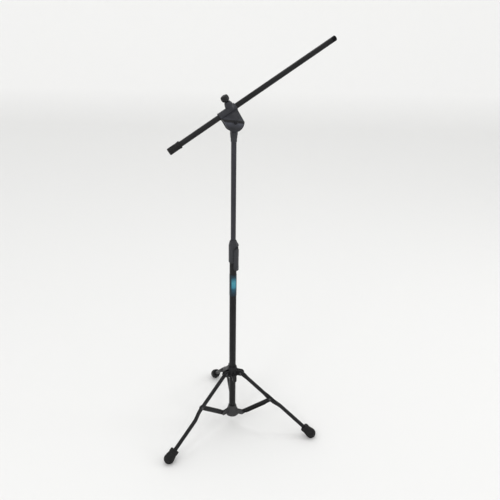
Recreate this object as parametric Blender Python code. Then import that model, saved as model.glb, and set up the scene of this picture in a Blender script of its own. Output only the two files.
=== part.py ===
"""Boom microphone stand: a folding tripod, a telescopic column and a tilting boom.

Metres, +Z up. The origin is on the floor, on the column's axis, and +X points
the way that the boom's tip leans. Each tripod leg has its own station: a frame
turned about the column whose x is outward, y is sideways and z is up.
"""

from math import acos, atan2, cos, hypot, pi, radians, sin, sqrt, tau

import bmesh
import bpy
from mathutils import Matrix, Vector

# ---- clearances -----------------------------------------------------------------
GAP = 0.0003              # between faces that touch on the real stand
PIN_PLAY = 0.0003         # radial play of a pin in its hole
HUB_PLAY = 0.0009         # radial play of the sliding hub on the lower tube
EYE_PLAY = 0.0009         # radial play of a leg's eye on its bolt: the fold's open pivot
EYE_SIDE_PLAY = 0.0006    # between a leg's eye and the hub's lugs
SCREW_TIP_GAP = 0.0009    # from a clamp screw's tip to the lower tube

# ---- column ---------------------------------------------------------------------
LOWER_TUBE_R = 0.0111
LOWER_TUBE_WALL = 0.0012
LOWER_TUBE_LENGTH = 0.6165
GUIDE_WALL = 0.00135      # the bush between the two tubes
UPPER_TUBE_R = LOWER_TUBE_R - LOWER_TUBE_WALL - 2 * GAP - GUIDE_WALL
UPPER_TUBE_WALL = 0.0010
UPPER_TUBE_LENGTH = 0.655
COLUMN_EXTENSION = 0.366  # upper tube's top end above the lower tube's top end
LABEL_HEIGHT = 0.074
LABEL_BELOW_CLUTCH = 0.042
LABEL_THICKNESS = 0.0003
GUIDE_LENGTH = 0.022
GUIDE_FROM_END = 0.0020
PLUG_FLANGE = 0.0030
PLUG_DEPTH = 0.0120

# ---- tripod ---------------------------------------------------------------------
STATIONS = (radians(-155.6), radians(-35.6), radians(84.4))
LEG_ANGLE = radians(51.2)     # leg from the vertical
LEG_LENGTH = 0.3219           # from its upper pivot to the middle of the foot's ball
LEG_R = 0.00635
LEG_WALL = 0.0012
HUB_WALL = 0.0054
HUB_R = LOWER_TUBE_R + HUB_WALL
LEG_PIVOT_R = HUB_R + 0.0140  # room for a leg's eye to swing beside the hub
LEG_SIDE = -0.0012            # sideways place of a leg's upper part
LEG_JOG = 0.0072              # how far its lower part steps aside, past the spreader
BRACE_DISTANCE = 0.1355       # from the leg's upper pivot to the spreader's pivot
EYE_SPREAD = 0.00245          # how much wider a tube grows when pressed flat
EYE_HALF_WIDTH = LEG_R + EYE_SPREAD
EYE_HOLLOW = 0.0013           # half of the slit left inside the pressed tube
EYE_HALF_THICK = LEG_WALL + EYE_HOLLOW
BELL_WALL = 0.0124
SPREADER_HUB_R = LOWER_TUBE_R + BELL_WALL
ARM_PIVOT_R = SPREADER_HUB_R + 0.0125  # room for an arm's round end beside the bell
ARM_PIVOT_Z = 0.0575
ARM_PIVOT_UP = 0.0120         # above the lower tube's bottom end
ARM_HALF_WIDTH = 0.0080
ARM_THICK = 0.0018
ARM_FLANGE = 0.0040
FLANGE_STEP = 0.0001          # flange's face inside the web's rim
FOOT_WALL = 0.01065           # rubber round a leg's end, at the ball
FOOT_R = LEG_R + FOOT_WALL
SOLE_CUT = 0.0007             # how much of the ball the floor cuts off
FOOT_BALL_Z = FOOT_R - SOLE_CUT
FOOT_PLUG = 0.0060            # from the ball's middle to the end of a leg's tube
FOOT_LENGTH = 0.0500
RIVET_R = 0.0022
RIVET_HEAD_R = 0.0042
RIVET_HEAD = 0.0015
BOLT_R = 0.0025
BOLT_HEAD_R = 0.0046
BOLT_HEAD = 0.0026
LUG_THICK = 0.0040
HUB_HALF_HEIGHT = 0.0200
HUB_LUG_R = EYE_HALF_WIDTH + 0.0012
SPREADER_LUG_R = ARM_HALF_WIDTH + 0.0005
BELL_BELOW = 0.0050           # bell's rim under the lower tube's end
BELL_BAND = 0.0100            # its widest band, then its shoulder, waist, neck and lip
BELL_SHOULDER = 0.0170
BELL_WAIST = 0.0245
BELL_NECK = 0.0320
BELL_TOP = 0.0370
WAIST_WALL = 0.0050
NECK_WALL = 0.0030
LIP_WALL = 0.0022
SPREADER_LUG_THICK = 0.0030

# ---- hub clamp knob ---------------------------------------------------------------
KNOB_AZIMUTH = radians(-95.6)
KNOB_BELOW_PIVOT = 0.0110
KNOB_BOSS_R = 0.0075
KNOB_BOSS_REACH = HUB_R + 0.0070
SCREW_R = 0.0025
WING_LENGTH = 0.0270
WING_WIDTH = 0.0135
WING_DEPTH = 0.0150
SCREW_IN_WING = 0.0080

# ---- height clutch ------------------------------------------------------------------
CLUTCH_AZIMUTH = radians(-18.4)
CLUTCH_BELOW = 0.0390         # sleeve's bottom under the lower tube's top end
CLUTCH_ABOVE = 0.0270         # shoulder's top above that end
CLUTCH_NECK = 0.0075
SLEEVE_R = LOWER_TUBE_R + 0.0015
SHELL_R = SLEEVE_R + 0.0017
LEVER_X = SLEEVE_R + 0.0053   # lever's half axes in plan
LEVER_Y = SLEEVE_R + 0.0024
LEVER_BORE_R = SLEEVE_R + 0.0007
LEVER_LENGTH = 0.0820
LEVER_PIN_X = SLEEVE_R - 0.0018
LEVER_PIN_UP = 0.0090         # pin above the lower tube's top end
LEVER_PIN_R = 0.0015
LEVER_EAR_R = 0.0068
WEB_HALF = 0.0058
WEB_UNDER_PIN = 0.0020
NOTCH_UNDER_PIN = 0.0045      # deep enough for the lever to swing out past the web
WINDOW_HALF = 0.0042          # the brake shoe's window in the sleeve
WINDOW_UP = 0.0011
WINDOW_UNDER_PIN = 0.0015

# ---- boom swivel --------------------------------------------------------------------
BOOM_TILT = radians(31.4)
SWIVEL_PIVOT_UP = 0.0300      # tilt pivot above the upper tube's top end
SOCKET_R = UPPER_TUBE_R + 0.00305
SOCKET_TOE_R = UPPER_TUBE_R + 0.00135
SOCKET_DEPTH = 0.0270
TONGUE_R = 0.0195
TONGUE_HALF = 0.0066
WASHER_R = 0.0170
WASHER_THICK = 0.0009
CHEEK_R = 0.0280
CHEEK_THICK = 0.0069
CHEEK_TAIL_SIDE = 0.0275      # cheek's straight sides, from the pivot
CHEEK_TIP_SIDE = 0.0240
TILT_BOLT_R = 0.0030
TILT_HEAD_R = 0.0058
TILT_HEAD = 0.0030
SLOT_CLEAR = 0.0012           # over the tongue, under the crown
CROWN = 0.00395               # plastic between the tongue's slot and the boom's bore
SLEEVE_TAIL = 0.0300          # boom sleeve's reach towards the tail
SLEEVE_TIP = 0.0265           # and towards the tip
SLEEVE_WALL = 0.0017
LINER_WALL = 0.0009
LINER_SLOT = 0.0020
CLAMP_U = 0.0108              # clamp screw along the boom from the pivot
NECK_FOOT = 0.00055           # neck's straight foot, above the bore
NECK_RISE = 0.01545           # neck's top above the bore
NECK_TOP_R = 0.0088
CLAMP_PAD_R = 0.0050
CLAMP_PAD_THICK = 0.0020
PAD_ROOM = 0.0010             # free height over the pad
CLAMP_SCREW_R = 0.0030
KNOB_R = 0.0118
KNOB_HEIGHT = 0.0190
KNOB_LOBES = 4
SCREW_IN_KNOB = 0.0120

# ---- boom -----------------------------------------------------------------------------
BOOM_R = 0.00795
BOOM_WALL = 0.0010
BOOM_LENGTH = 0.5640
BOOM_TAIL = 0.1990            # tube's tail end from the pivot's foot
TAIL_CAP_R = BOOM_R + 0.00235
TAIL_CAP_LIP_R = TAIL_CAP_R + 0.0008
TAIL_CAP_LENGTH = 0.0400
TAIL_CAP_END = 0.0040
THREAD_R = BOOM_R - 0.00005
THREAD_ROOT_R = THREAD_R - 0.0007
THREAD_LENGTH = 0.0140
THREAD_RINGS = 5
THREAD_PLUG = 0.0140

ROUND = 28                    # sides of a full-size round piece
SMALL_ROUND = 12              # sides of a pin, rivet or screw
LEG_ROUND = 16                # sides of a leg's tube
EDGE = radians(35)            # folds sharper than this show as an edge
DRILL = 0.02                  # half length of a cutter through a hub or an arm
LONG_DRILL = 0.03             # and of one through the clutch or the swivel

# ---- places that follow from the sizes -------------------------------------------------
LEG_PIVOT_Z = FOOT_BALL_Z + LEG_LENGTH * cos(LEG_ANGLE)
BRACE_R = LEG_PIVOT_R + BRACE_DISTANCE * sin(LEG_ANGLE)
BRACE_Z = LEG_PIVOT_Z - BRACE_DISTANCE * cos(LEG_ANGLE)
ARM_LENGTH = hypot(BRACE_R - ARM_PIVOT_R, BRACE_Z - ARM_PIVOT_Z)
ARM_ANGLE = atan2(BRACE_R - ARM_PIVOT_R, BRACE_Z - ARM_PIVOT_Z)
EYE_INNER = LEG_SIDE - EYE_HALF_THICK
EYE_OUTER = LEG_SIDE + EYE_HALF_THICK
ARM_FACE = EYE_INNER - 2 * GAP - FLANGE_STEP
ARM_BACK = ARM_FACE - ARM_THICK
LOWER_TUBE_BOTTOM = ARM_PIVOT_Z - ARM_PIVOT_UP
LOWER_TUBE_TOP = LOWER_TUBE_BOTTOM + LOWER_TUBE_LENGTH
UPPER_TUBE_TOP = LOWER_TUBE_TOP + COLUMN_EXTENSION
UPPER_TUBE_BOTTOM = UPPER_TUBE_TOP - UPPER_TUBE_LENGTH
SWIVEL_PIVOT = Vector((0.0, 0.0, UPPER_TUBE_TOP + SWIVEL_PIVOT_UP))
CLUTCH_BOTTOM = LOWER_TUBE_TOP - CLUTCH_BELOW
CLUTCH_SHOULDER = LOWER_TUBE_TOP + CLUTCH_ABOVE
CLUTCH_TOP = CLUTCH_SHOULDER + CLUTCH_NECK
LEVER_PIN_Z = LOWER_TUBE_TOP + LEVER_PIN_UP
BOOM_BORE = BOOM_R + 2 * GAP + LINER_WALL
BOOM_HEIGHT = TONGUE_R + SLOT_CLEAR + CROWN + BOOM_BORE    # boom's axis from the tilt pivot
CHEEK_TOP = BOOM_HEIGHT - 0.0056
NECK_R = BOOM_R + 0.00455
NECK_TOP = BOOM_HEIGHT + BOOM_BORE + NECK_RISE


# ---- scene and materials ---------------------------------------------------------------
def clear_scene():
    """Remove every object that is in the scene at the start."""
    for obj in list(bpy.data.objects):
        bpy.data.objects.remove(obj)


def material(name, colour, roughness, metallic):
    """A Principled material with one colour, roughness and metallic value."""
    made = bpy.data.materials.new(name)
    made.use_nodes = True
    shader = made.node_tree.nodes["Principled BSDF"]
    shader.inputs["Base Color"].default_value = (*colour, 1.0)
    shader.inputs["Roughness"].default_value = roughness
    shader.inputs["Metallic"].default_value = metallic
    return made


def make_materials():
    """The stand's finishes, by name."""
    return {
        "paint": material("black_paint", (0.022, 0.022, 0.024), 0.38, 0.0),
        "upper": material("tube_paint", (0.030, 0.031, 0.036), 0.30, 0.2),
        "plastic": material("grey_plastic", (0.050, 0.054, 0.066), 0.40, 0.0),
        "black": material("black_plastic", (0.020, 0.020, 0.021), 0.45, 0.0),
        "rubber": material("black_rubber", (0.018, 0.018, 0.018), 0.75, 0.0),
        "steel": material("zinc_steel", (0.55, 0.55, 0.56), 0.32, 1.0),
        "dark": material("dark_steel", (0.05, 0.05, 0.055), 0.35, 0.9),
        "nylon": material("nylon", (0.60, 0.60, 0.58), 0.5, 0.0),
        "label": material("blue_label", (0.035, 0.26, 0.36), 0.35, 0.0),
    }


# ---- mesh helpers ----------------------------------------------------------------------
def finish(name, bm, finish_material, parent=None, pivot=(0.0, 0.0, 0.0)):
    """Make an object from bm, with its origin at pivot in its parent's frame."""
    bmesh.ops.remove_doubles(bm, verts=bm.verts, dist=1e-6)
    bmesh.ops.recalc_face_normals(bm, faces=bm.faces)
    bmesh.ops.translate(bm, verts=bm.verts, vec=-Vector(pivot))
    mesh = bpy.data.meshes.new(name)
    bm.to_mesh(mesh)
    bm.free()
    mesh.shade_smooth()
    mesh.set_sharp_from_angle(angle=EDGE)
    obj = bpy.data.objects.new(name, mesh)
    bpy.context.scene.collection.objects.link(obj)
    obj.data.materials.append(finish_material)
    obj.location = pivot
    obj.parent = parent
    return obj


def frame(name, place, turn=(0.0, 0.0, 0.0), parent=None):
    """An empty that carries the pieces of one station or mechanism."""
    empty = bpy.data.objects.new(name, None)
    bpy.context.scene.collection.objects.link(empty)
    empty.location = place
    empty.rotation_euler = turn
    empty.parent = parent
    return empty


def combine(target, tool, operation):
    """Cut or join target with tool, bake the result and drop the tool."""
    bool_step = target.modifiers.new("step", "BOOLEAN")
    bool_step.operation = operation
    bool_step.solver = "EXACT"
    bool_step.object = tool
    bpy.context.view_layer.update()
    graph = bpy.context.evaluated_depsgraph_get()
    baked = bpy.data.meshes.new_from_object(target.evaluated_get(graph))
    target.modifiers.clear()
    old = target.data
    target.data = baked
    baked.name = target.name
    bpy.data.meshes.remove(old)
    bpy.data.objects.remove(tool)


def cut(target, tool):
    combine(target, tool, "DIFFERENCE")


def join(target, tool):
    combine(target, tool, "UNION")


def keep_inside(target, tool):
    combine(target, tool, "INTERSECT")


def turned(profile, sides=ROUND, axis="Z"):
    """Turn a closed outline of (radius, height) points about the axis."""
    bm = bmesh.new()
    verts = [bm.verts.new((r, 0.0, z)) for r, z in profile]
    edges = [bm.edges.new((verts[i], verts[(i + 1) % len(verts)])) for i in range(len(verts))]
    edges = [e for e in edges if any(abs(v.co.x) > 1e-9 for v in e.verts)]
    bmesh.ops.spin(bm, geom=verts + edges, cent=(0, 0, 0), axis=(0, 0, 1), angle=tau,
                   steps=sides, use_merge=True)
    bmesh.ops.remove_doubles(bm, verts=bm.verts, dist=1e-7)
    loose = [e for e in bm.edges if not e.link_faces]
    bmesh.ops.delete(bm, geom=loose, context="EDGES")
    turn = {"Z": Matrix.Identity(4),
            "X": Matrix.Rotation(pi / 2, 4, "Y"),
            "Y": Matrix.Rotation(-pi / 2, 4, "X")}[axis]
    bm.transform(turn)
    return bm


def ring(inner, outer, low, high):
    """Outline of a plain tube, for turned()."""
    return [(inner, low), (outer, low), (outer, high), (inner, high)]


def rod(radius, low, high):
    """Outline of a plain solid rod, for turned()."""
    return [(0.0, low), (radius, low), (radius, high), (0.0, high)]


def move(bm, place):
    """Shift a bmesh and hand it back."""
    bmesh.ops.translate(bm, verts=bm.verts, vec=Vector(place))
    return bm


def slab(outline, low, high):
    """Extrude an (x, z) outline from y = low to y = high."""
    bm = bmesh.new()
    face = bm.faces.new([bm.verts.new((x, low, z)) for x, z in outline])
    grown = bmesh.ops.extrude_face_region(bm, geom=[face])
    moved = [v for v in grown["geom"] if isinstance(v, bmesh.types.BMVert)]
    bmesh.ops.translate(bm, verts=moved, vec=(0.0, high - low, 0.0))
    return bm


def block(low, high):
    """A box between two corners."""
    (x0, y0, z0), (x1, y1, z1) = low, high
    return slab([(x0, z0), (x1, z0), (x1, z1), (x0, z1)], y0, y1)


def arc(centre, radius, start, end, steps):
    """Points of an arc in the (x, z) plane, ends included."""
    turns = [start + (end - start) * i / steps for i in range(steps + 1)]
    return [(centre[0] + radius * cos(a), centre[1] + radius * sin(a)) for a in turns]


def tool(bm):
    """A passing object that only cuts or joins another."""
    obj = finish("tool", bm, FINISH["dark"])
    return obj


def drill(target, radius, place, low, high, sides=SMALL_ROUND):
    """Drill a hole along y through target, in the target's own coordinates."""
    bit = turned(rod(radius, low, high), sides, "Y")
    cut_local(target, move(bit, place))


# ---- column ----------------------------------------------------------------------------
def make_lower_tube():
    outline = ring(LOWER_TUBE_R - LOWER_TUBE_WALL, LOWER_TUBE_R, LOWER_TUBE_BOTTOM, LOWER_TUBE_TOP)
    finish("lower_tube", turned(outline), FINISH["paint"])


def make_label():
    high = CLUTCH_BOTTOM - LABEL_BELOW_CLUTCH
    inner = LOWER_TUBE_R + GAP
    outline = ring(inner, inner + LABEL_THICKNESS, high - LABEL_HEIGHT, high)
    finish("label_band", turned(outline), FINISH["label"])


def make_end_plug():
    """The cap in the lower tube's bottom end: a plug under a thin flange."""
    flange_low = LOWER_TUBE_BOTTOM - PLUG_FLANGE
    plug_r = LOWER_TUBE_R - LOWER_TUBE_WALL - GAP
    outline = [(0.0, flange_low), (LOWER_TUBE_R, flange_low),
               (LOWER_TUBE_R, LOWER_TUBE_BOTTOM - GAP), (plug_r, LOWER_TUBE_BOTTOM - GAP),
               (plug_r, LOWER_TUBE_BOTTOM + PLUG_DEPTH), (0.0, LOWER_TUBE_BOTTOM + PLUG_DEPTH)]
    finish("column_end_plug", turned(outline), FINISH["black"])


def make_upper_tube(slide):
    outline = ring(UPPER_TUBE_R - UPPER_TUBE_WALL, UPPER_TUBE_R, UPPER_TUBE_BOTTOM, UPPER_TUBE_TOP)
    finish("upper_tube", turned(outline), FINISH["upper"], slide)
    low = UPPER_TUBE_BOTTOM + GUIDE_FROM_END
    bush = ring(UPPER_TUBE_R + GAP, LOWER_TUBE_R - LOWER_TUBE_WALL - GAP, low, low + GUIDE_LENGTH)
    finish("upper_tube_guide", turned(bush), FINISH["nylon"], slide)


# ---- tripod ----------------------------------------------------------------------------
def lug_outline(tip_x, tip_z, tip_r, root_x):
    """A plate from root_x out to a round tip about (tip_x, tip_z)."""
    return ([(root_x, tip_z + tip_r), (root_x, tip_z - tip_r)]
            + arc((tip_x, tip_z), tip_r, -pi / 2, pi / 2, 10))


def add_lugs(target, tip_x, tip_z, tip_r, root_x, plates):
    """Join lug plates to target at each station; plates are (low, high) in y."""
    for station in STATIONS:
        for low, high in plates:
            bm = slab(lug_outline(tip_x, tip_z, tip_r, root_x), low, high)
            bm.transform(Matrix.Rotation(station, 4, "Z"))
            join(target, tool(bm))


def drill_stations(target, radius, place, low, high):
    """Drill one sideways hole at each station."""
    for station in STATIONS:
        bit = move(turned(rod(radius, low, high), SMALL_ROUND, "Y"), place)
        bit.transform(Matrix.Rotation(station, 4, "Z"))
        cut(target, tool(bit))


def spreader_plates():
    """The two lug plates that hold an arm's web, as (low, high) in y."""
    return ((ARM_FACE + GAP, ARM_FACE + GAP + SPREADER_LUG_THICK),
            (ARM_BACK - GAP - SPREADER_LUG_THICK, ARM_BACK - GAP))


def make_spreader_hub():
    """The bell on the lower tube's end, with a pair of lugs for each arm."""
    bore = LOWER_TUBE_R + GAP
    low = LOWER_TUBE_BOTTOM - BELL_BELOW
    outline = [(bore, low), (SPREADER_HUB_R - 0.0020, low), (SPREADER_HUB_R, low + 0.0030),
               (SPREADER_HUB_R, low + BELL_BAND), (SPREADER_HUB_R - 0.0035, low + BELL_SHOULDER),
               (bore + WAIST_WALL, low + BELL_WAIST), (bore + NECK_WALL, low + BELL_NECK),
               (bore + LIP_WALL, low + BELL_TOP), (bore, low + BELL_TOP)]
    hub = finish("spreader_hub", turned(outline), FINISH["plastic"])
    add_lugs(hub, ARM_PIVOT_R, ARM_PIVOT_Z, SPREADER_LUG_R, bore + NECK_WALL, spreader_plates())
    drill_stations(hub, RIVET_R + PIN_PLAY, (ARM_PIVOT_R, 0.0, ARM_PIVOT_Z), -DRILL, DRILL)


def make_arm_rivet(number, station):
    """Inner rivet of an arm: a head on one side, flush on the leg's side."""
    face, back = spreader_plates()
    outline = [(0.0, back[0] - GAP - RIVET_HEAD), (RIVET_HEAD_R * 0.7, back[0] - GAP - RIVET_HEAD),
               (RIVET_HEAD_R, back[0] - GAP - RIVET_HEAD * 0.5), (RIVET_HEAD_R, back[0] - GAP),
               (RIVET_R, back[0] - GAP), (RIVET_R, face[1]), (0.0, face[1])]
    bm = move(turned(outline, SMALL_ROUND, "Y"), (ARM_PIVOT_R, 0.0, ARM_PIVOT_Z))
    pivot = (ARM_PIVOT_R, 0.0, ARM_PIVOT_Z)
    finish(f"arm_rivet_{number}", bm, FINISH["steel"], station, pivot)


def make_arm(number, station):
    """A pressed channel from the spreader hub to the leg, open on its far side."""
    flat = lug_outline(ARM_LENGTH, 0.0, ARM_HALF_WIDTH, 0.0)[2:]
    flat += arc((0.0, 0.0), ARM_HALF_WIDTH, pi / 2, 3 * pi / 2, 10)
    hinge = frame(f"arm_hinge_{number}", (ARM_PIVOT_R, 0.0, ARM_PIVOT_Z),
                  (0.0, ARM_ANGLE - pi / 2, 0.0), station)
    arm = finish(f"spreader_arm_{number}", slab(flat, ARM_BACK, ARM_FACE), FINISH["paint"], hinge)
    start = SPREADER_LUG_R + 0.0040
    end = ARM_LENGTH - EYE_HALF_WIDTH - 0.0080
    for side in (-1, 1):
        rim = ARM_HALF_WIDTH - FLANGE_STEP
        edges = sorted((side * rim, side * (rim - ARM_THICK)))
        low = (start, ARM_BACK - ARM_FLANGE, edges[0])
        high = (end, ARM_BACK + ARM_THICK / 2, edges[1])
        join_local(arm, block(low, high))
    drill(arm, RIVET_R + PIN_PLAY, (0.0, 0.0, 0.0), -DRILL, DRILL)
    drill(arm, RIVET_R + PIN_PLAY, (ARM_LENGTH, 0.0, 0.0), -DRILL, DRILL)


def leg_point(distance, side=0.0):
    """A point of the leg's axis in its station, distance from the upper pivot."""
    return Vector((LEG_PIVOT_R + distance * sin(LEG_ANGLE), side,
                   LEG_PIVOT_Z - distance * cos(LEG_ANGLE)))


def ease(value, start, end):
    """0 before start, 1 after end, and a smooth step between."""
    share = min(max((value - start) / (end - start), 0.0), 1.0)
    return share * share * (3.0 - 2.0 * share)


def leg_section(distance):
    """Half width, half thickness and sideways place of a leg's tube."""
    eye = 1.0 - ease(distance, HUB_LUG_R + 0.0020, HUB_LUG_R + 0.0180)
    before = BRACE_DISTANCE - EYE_HALF_WIDTH
    after = BRACE_DISTANCE + EYE_HALF_WIDTH
    pressed = ease(distance, before - 0.0190, before - 0.0040)
    pressed *= 1.0 - ease(distance, after + 0.0040, after + 0.0400)
    flat = max(eye, pressed)
    side = LEG_SIDE + LEG_JOG * ease(distance, after, after + 0.0420)
    width = LEG_R + (EYE_HALF_WIDTH - LEG_R) * flat
    thick = LEG_R + (EYE_HALF_THICK - LEG_R) * flat
    return width, thick, side


def leg_rings(bm, distances, wall, sides):
    """Rings of a leg's outer or inner wall, square to its axis."""
    across = Vector((cos(LEG_ANGLE), 0.0, sin(LEG_ANGLE)))
    rings = []
    for distance in distances:
        width, thick, side = leg_section(distance)
        if distance < 0.0:
            width = max(sqrt(EYE_HALF_WIDTH ** 2 - distance ** 2), 0.0025)
        width -= wall
        thick -= wall
        centre = leg_point(distance, side)
        loop = []
        for i in range(sides):
            turn = tau * i / sides
            offset = across * (width * cos(turn)) + Vector((0.0, thick * sin(turn), 0.0))
            loop.append(bm.verts.new(centre + offset))
        rings.append(loop)
    return rings


def skin(bm, rings):
    """Faces between neighbouring rings of equal size."""
    for one, two in zip(rings, rings[1:]):
        count = len(one)
        for i in range(count):
            j = (i + 1) % count
            bm.faces.new((one[i], one[j], two[j], two[i]))


def spread(start, end, steps):
    """Evenly spaced values, ends included."""
    return [start + (end - start) * i / steps for i in range(steps + 1)]


def make_leg(number, station):
    """A steel tube, pressed flat at its eye and at the spreader's rivet."""
    end = LEG_LENGTH - FOOT_PLUG
    before = BRACE_DISTANCE - EYE_HALF_WIDTH
    after = BRACE_DISTANCE + EYE_HALF_WIDTH
    outer = [-0.98 * EYE_HALF_WIDTH, -0.86 * EYE_HALF_WIDTH, -0.55 * EYE_HALF_WIDTH, 0.0]
    outer += spread(HUB_LUG_R + 0.0015, HUB_LUG_R + 0.0180, 3)
    outer += spread(before - 0.0190, before - 0.0040, 3)
    outer += spread(after, after + 0.0440, 7)
    outer += [end]
    inner = [d for d in outer if d > HUB_LUG_R + 0.0050]
    bm = bmesh.new()
    skins = leg_rings(bm, outer, 0.0, LEG_ROUND)
    bores = leg_rings(bm, inner[::-1], LEG_WALL, LEG_ROUND)
    skin(bm, skins + bores)
    bm.faces.new(skins[0])
    bm.faces.new(bores[-1])
    brace = leg_point(BRACE_DISTANCE)
    leg = finish(f"leg_{number}", bm, FINISH["paint"], station, brace)
    eye = leg_point(0.0) - brace
    drill(leg, BOLT_R + EYE_PLAY, eye, -DRILL, DRILL)
    drill(leg, RIVET_R + PIN_PLAY, (0.0, 0.0, 0.0), -DRILL, DRILL)


def make_brace_rivet(number, station):
    """Rivet through the arm's web and the flattened leg, headed on both sides."""
    low = ARM_BACK - GAP
    high = EYE_OUTER + GAP
    outline = [(0.0, low - RIVET_HEAD), (RIVET_HEAD_R * 0.7, low - RIVET_HEAD),
               (RIVET_HEAD_R, low - RIVET_HEAD * 0.5), (RIVET_HEAD_R, low), (RIVET_R, low),
               (RIVET_R, high), (RIVET_HEAD_R, high), (RIVET_HEAD_R, high + RIVET_HEAD * 0.5),
               (RIVET_HEAD_R * 0.7, high + RIVET_HEAD), (0.0, high + RIVET_HEAD)]
    brace = leg_point(BRACE_DISTANCE)
    bm = move(turned(outline, SMALL_ROUND, "Y"), brace)
    finish(f"brace_rivet_{number}", bm, FINISH["steel"], station, brace)


def make_foot(number, station):
    """Rubber foot: a ball end cut flat by the floor, a waist and a collar."""
    ball = FOOT_R
    back = FOOT_LENGTH - ball
    bore = LEG_R + GAP
    stop = FOOT_PLUG - 5 * GAP
    outline = [(0.0, -ball)]
    outline += [(ball * cos(a), ball * sin(a)) for a in spread(-1.25, 0.0, 5)]
    outline += [(ball * 0.97, 0.0060), (ball * 0.86, 0.0150), (ball * 0.82, back - 0.0120),
                (ball * 0.88, back - 0.0095), (ball * 0.88, back - 0.0030),
                (ball * 0.80, back), (bore, back), (bore, stop), (0.0, stop)]
    bm = turned(outline, 20)
    side = leg_section(LEG_LENGTH)[2]
    bm.transform(Matrix.Rotation(-LEG_ANGLE, 4, "Y"))
    move(bm, leg_point(LEG_LENGTH, side))
    brace = leg_point(BRACE_DISTANCE)
    foot = finish(f"foot_{number}", bm, FINISH["rubber"], None)
    below = block((-1.0, -1.0, -0.1), (1.0, 1.0, 0.0))
    cut(foot, tool(below))
    foot.data.transform(Matrix.Translation(-brace))
    foot.location = brace
    foot.parent = station


def hub_plates():
    """The two lug plates that hold a leg's eye, as (low, high) in y."""
    return ((EYE_OUTER + EYE_SIDE_PLAY, EYE_OUTER + EYE_SIDE_PLAY + LUG_THICK),
            (EYE_INNER - EYE_SIDE_PLAY - LUG_THICK, EYE_INNER - EYE_SIDE_PLAY))


def make_leg_hub():
    """The collar that slides on the lower tube and carries the legs."""
    bore = LOWER_TUBE_R + HUB_PLAY
    low = LEG_PIVOT_Z - HUB_HALF_HEIGHT
    high = LEG_PIVOT_Z + HUB_HALF_HEIGHT
    outline = [(bore, low), (HUB_R - 0.0015, low), (HUB_R, low + 0.0020),
               (HUB_R, high - 0.0100), (HUB_R - 0.0030, high), (bore, high)]
    first = leg_point(0.0)
    pivot = Matrix.Rotation(STATIONS[0], 3, "Z") @ first
    hub = finish("leg_hub", turned(outline), FINISH["plastic"])
    add_lugs(hub, LEG_PIVOT_R, LEG_PIVOT_Z, HUB_LUG_R, bore + 0.0025, hub_plates())
    boss = turned(rod(KNOB_BOSS_R, bore + 0.0020, KNOB_BOSS_REACH), 24, "X")
    place_at_knob(boss)
    join(hub, tool(boss))
    hole = turned(rod(SCREW_R + GAP, LOWER_TUBE_R * 0.5, KNOB_BOSS_REACH + 0.01), SMALL_ROUND, "X")
    place_at_knob(hole)
    cut(hub, tool(hole))
    drill_stations(hub, BOLT_R + PIN_PLAY, (LEG_PIVOT_R, 0.0, LEG_PIVOT_Z), -DRILL, DRILL)
    hub.data.transform(Matrix.Translation(-pivot))
    hub.location = pivot


def place_at_knob(bm):
    """Carry a piece built along +x out to the hub's clamp knob."""
    bmesh.ops.translate(bm, verts=bm.verts, vec=(0.0, 0.0, LEG_PIVOT_Z - KNOB_BELOW_PIVOT))
    bm.transform(Matrix.Rotation(KNOB_AZIMUTH, 4, "Z"))


def make_leg_bolt(number, station):
    """Bolt through a hub lug pair and the leg's eye, with its nut."""
    outer, inner = hub_plates()
    head = outer[1] + GAP
    nut_high = inner[0] - GAP
    tail = nut_high - BOLT_HEAD - 0.0010
    outline = [(0.0, tail), (BOLT_R, tail), (BOLT_R, head), (BOLT_HEAD_R, head),
               (BOLT_HEAD_R, head + BOLT_HEAD * 0.6), (BOLT_HEAD_R * 0.7, head + BOLT_HEAD),
               (0.0, head + BOLT_HEAD)]
    place = leg_point(0.0)
    bm = move(turned(outline, SMALL_ROUND, "Y"), place)
    finish(f"leg_bolt_{number}", bm, FINISH["steel"], station, place)
    nut = hex_nut(BOLT_R, BOLT_HEAD_R, nut_high - BOLT_HEAD, nut_high)
    finish(f"leg_nut_{number}", move(nut, place), FINISH["steel"], station, place)


def hex_nut(thread_r, corner_r, low, high):
    """Six-sided nut along y, its six-sided bore clear of the thread."""
    return turned(ring((thread_r + GAP) / cos(pi / 6), corner_r, low, high), 6, "Y")


def make_hub_knob():
    """Wing knob and its screw, turning about the boss on the hub."""
    reach = KNOB_BOSS_REACH + GAP
    pivot = Vector((reach, 0.0, LEG_PIVOT_Z - KNOB_BELOW_PIVOT))
    holder = frame("hub_knob_frame", (0.0, 0.0, 0.0), (0.0, 0.0, KNOB_AZIMUTH))
    screw = turned(rod(SCREW_R, LOWER_TUBE_R + SCREW_TIP_GAP, reach + SCREW_IN_WING),
                   SMALL_ROUND, "X")
    move(screw, (0.0, 0.0, pivot.z))
    finish("hub_clamp_screw", screw, FINISH["steel"], holder, pivot)
    half = WING_WIDTH / 2
    tall = WING_LENGTH / 2 - half
    outline = [(half * cos(a), tall + half * sin(a)) for a in spread(0.0, pi, 12)]
    outline += [(half * cos(a), half * sin(a) - tall) for a in spread(pi, tau, 12)]
    wing = slab(outline, 0.0, WING_DEPTH)
    wing.transform(Matrix.Rotation(-pi / 2, 4, "Z"))
    move(wing, pivot)
    knob = finish("hub_knob", wing, FINISH["black"], holder, pivot)
    soften(knob, 0.0022)
    hole = turned(rod(SCREW_R + GAP, -0.01, SCREW_IN_WING + GAP), SMALL_ROUND, "X")
    cut_local(knob, hole)


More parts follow.
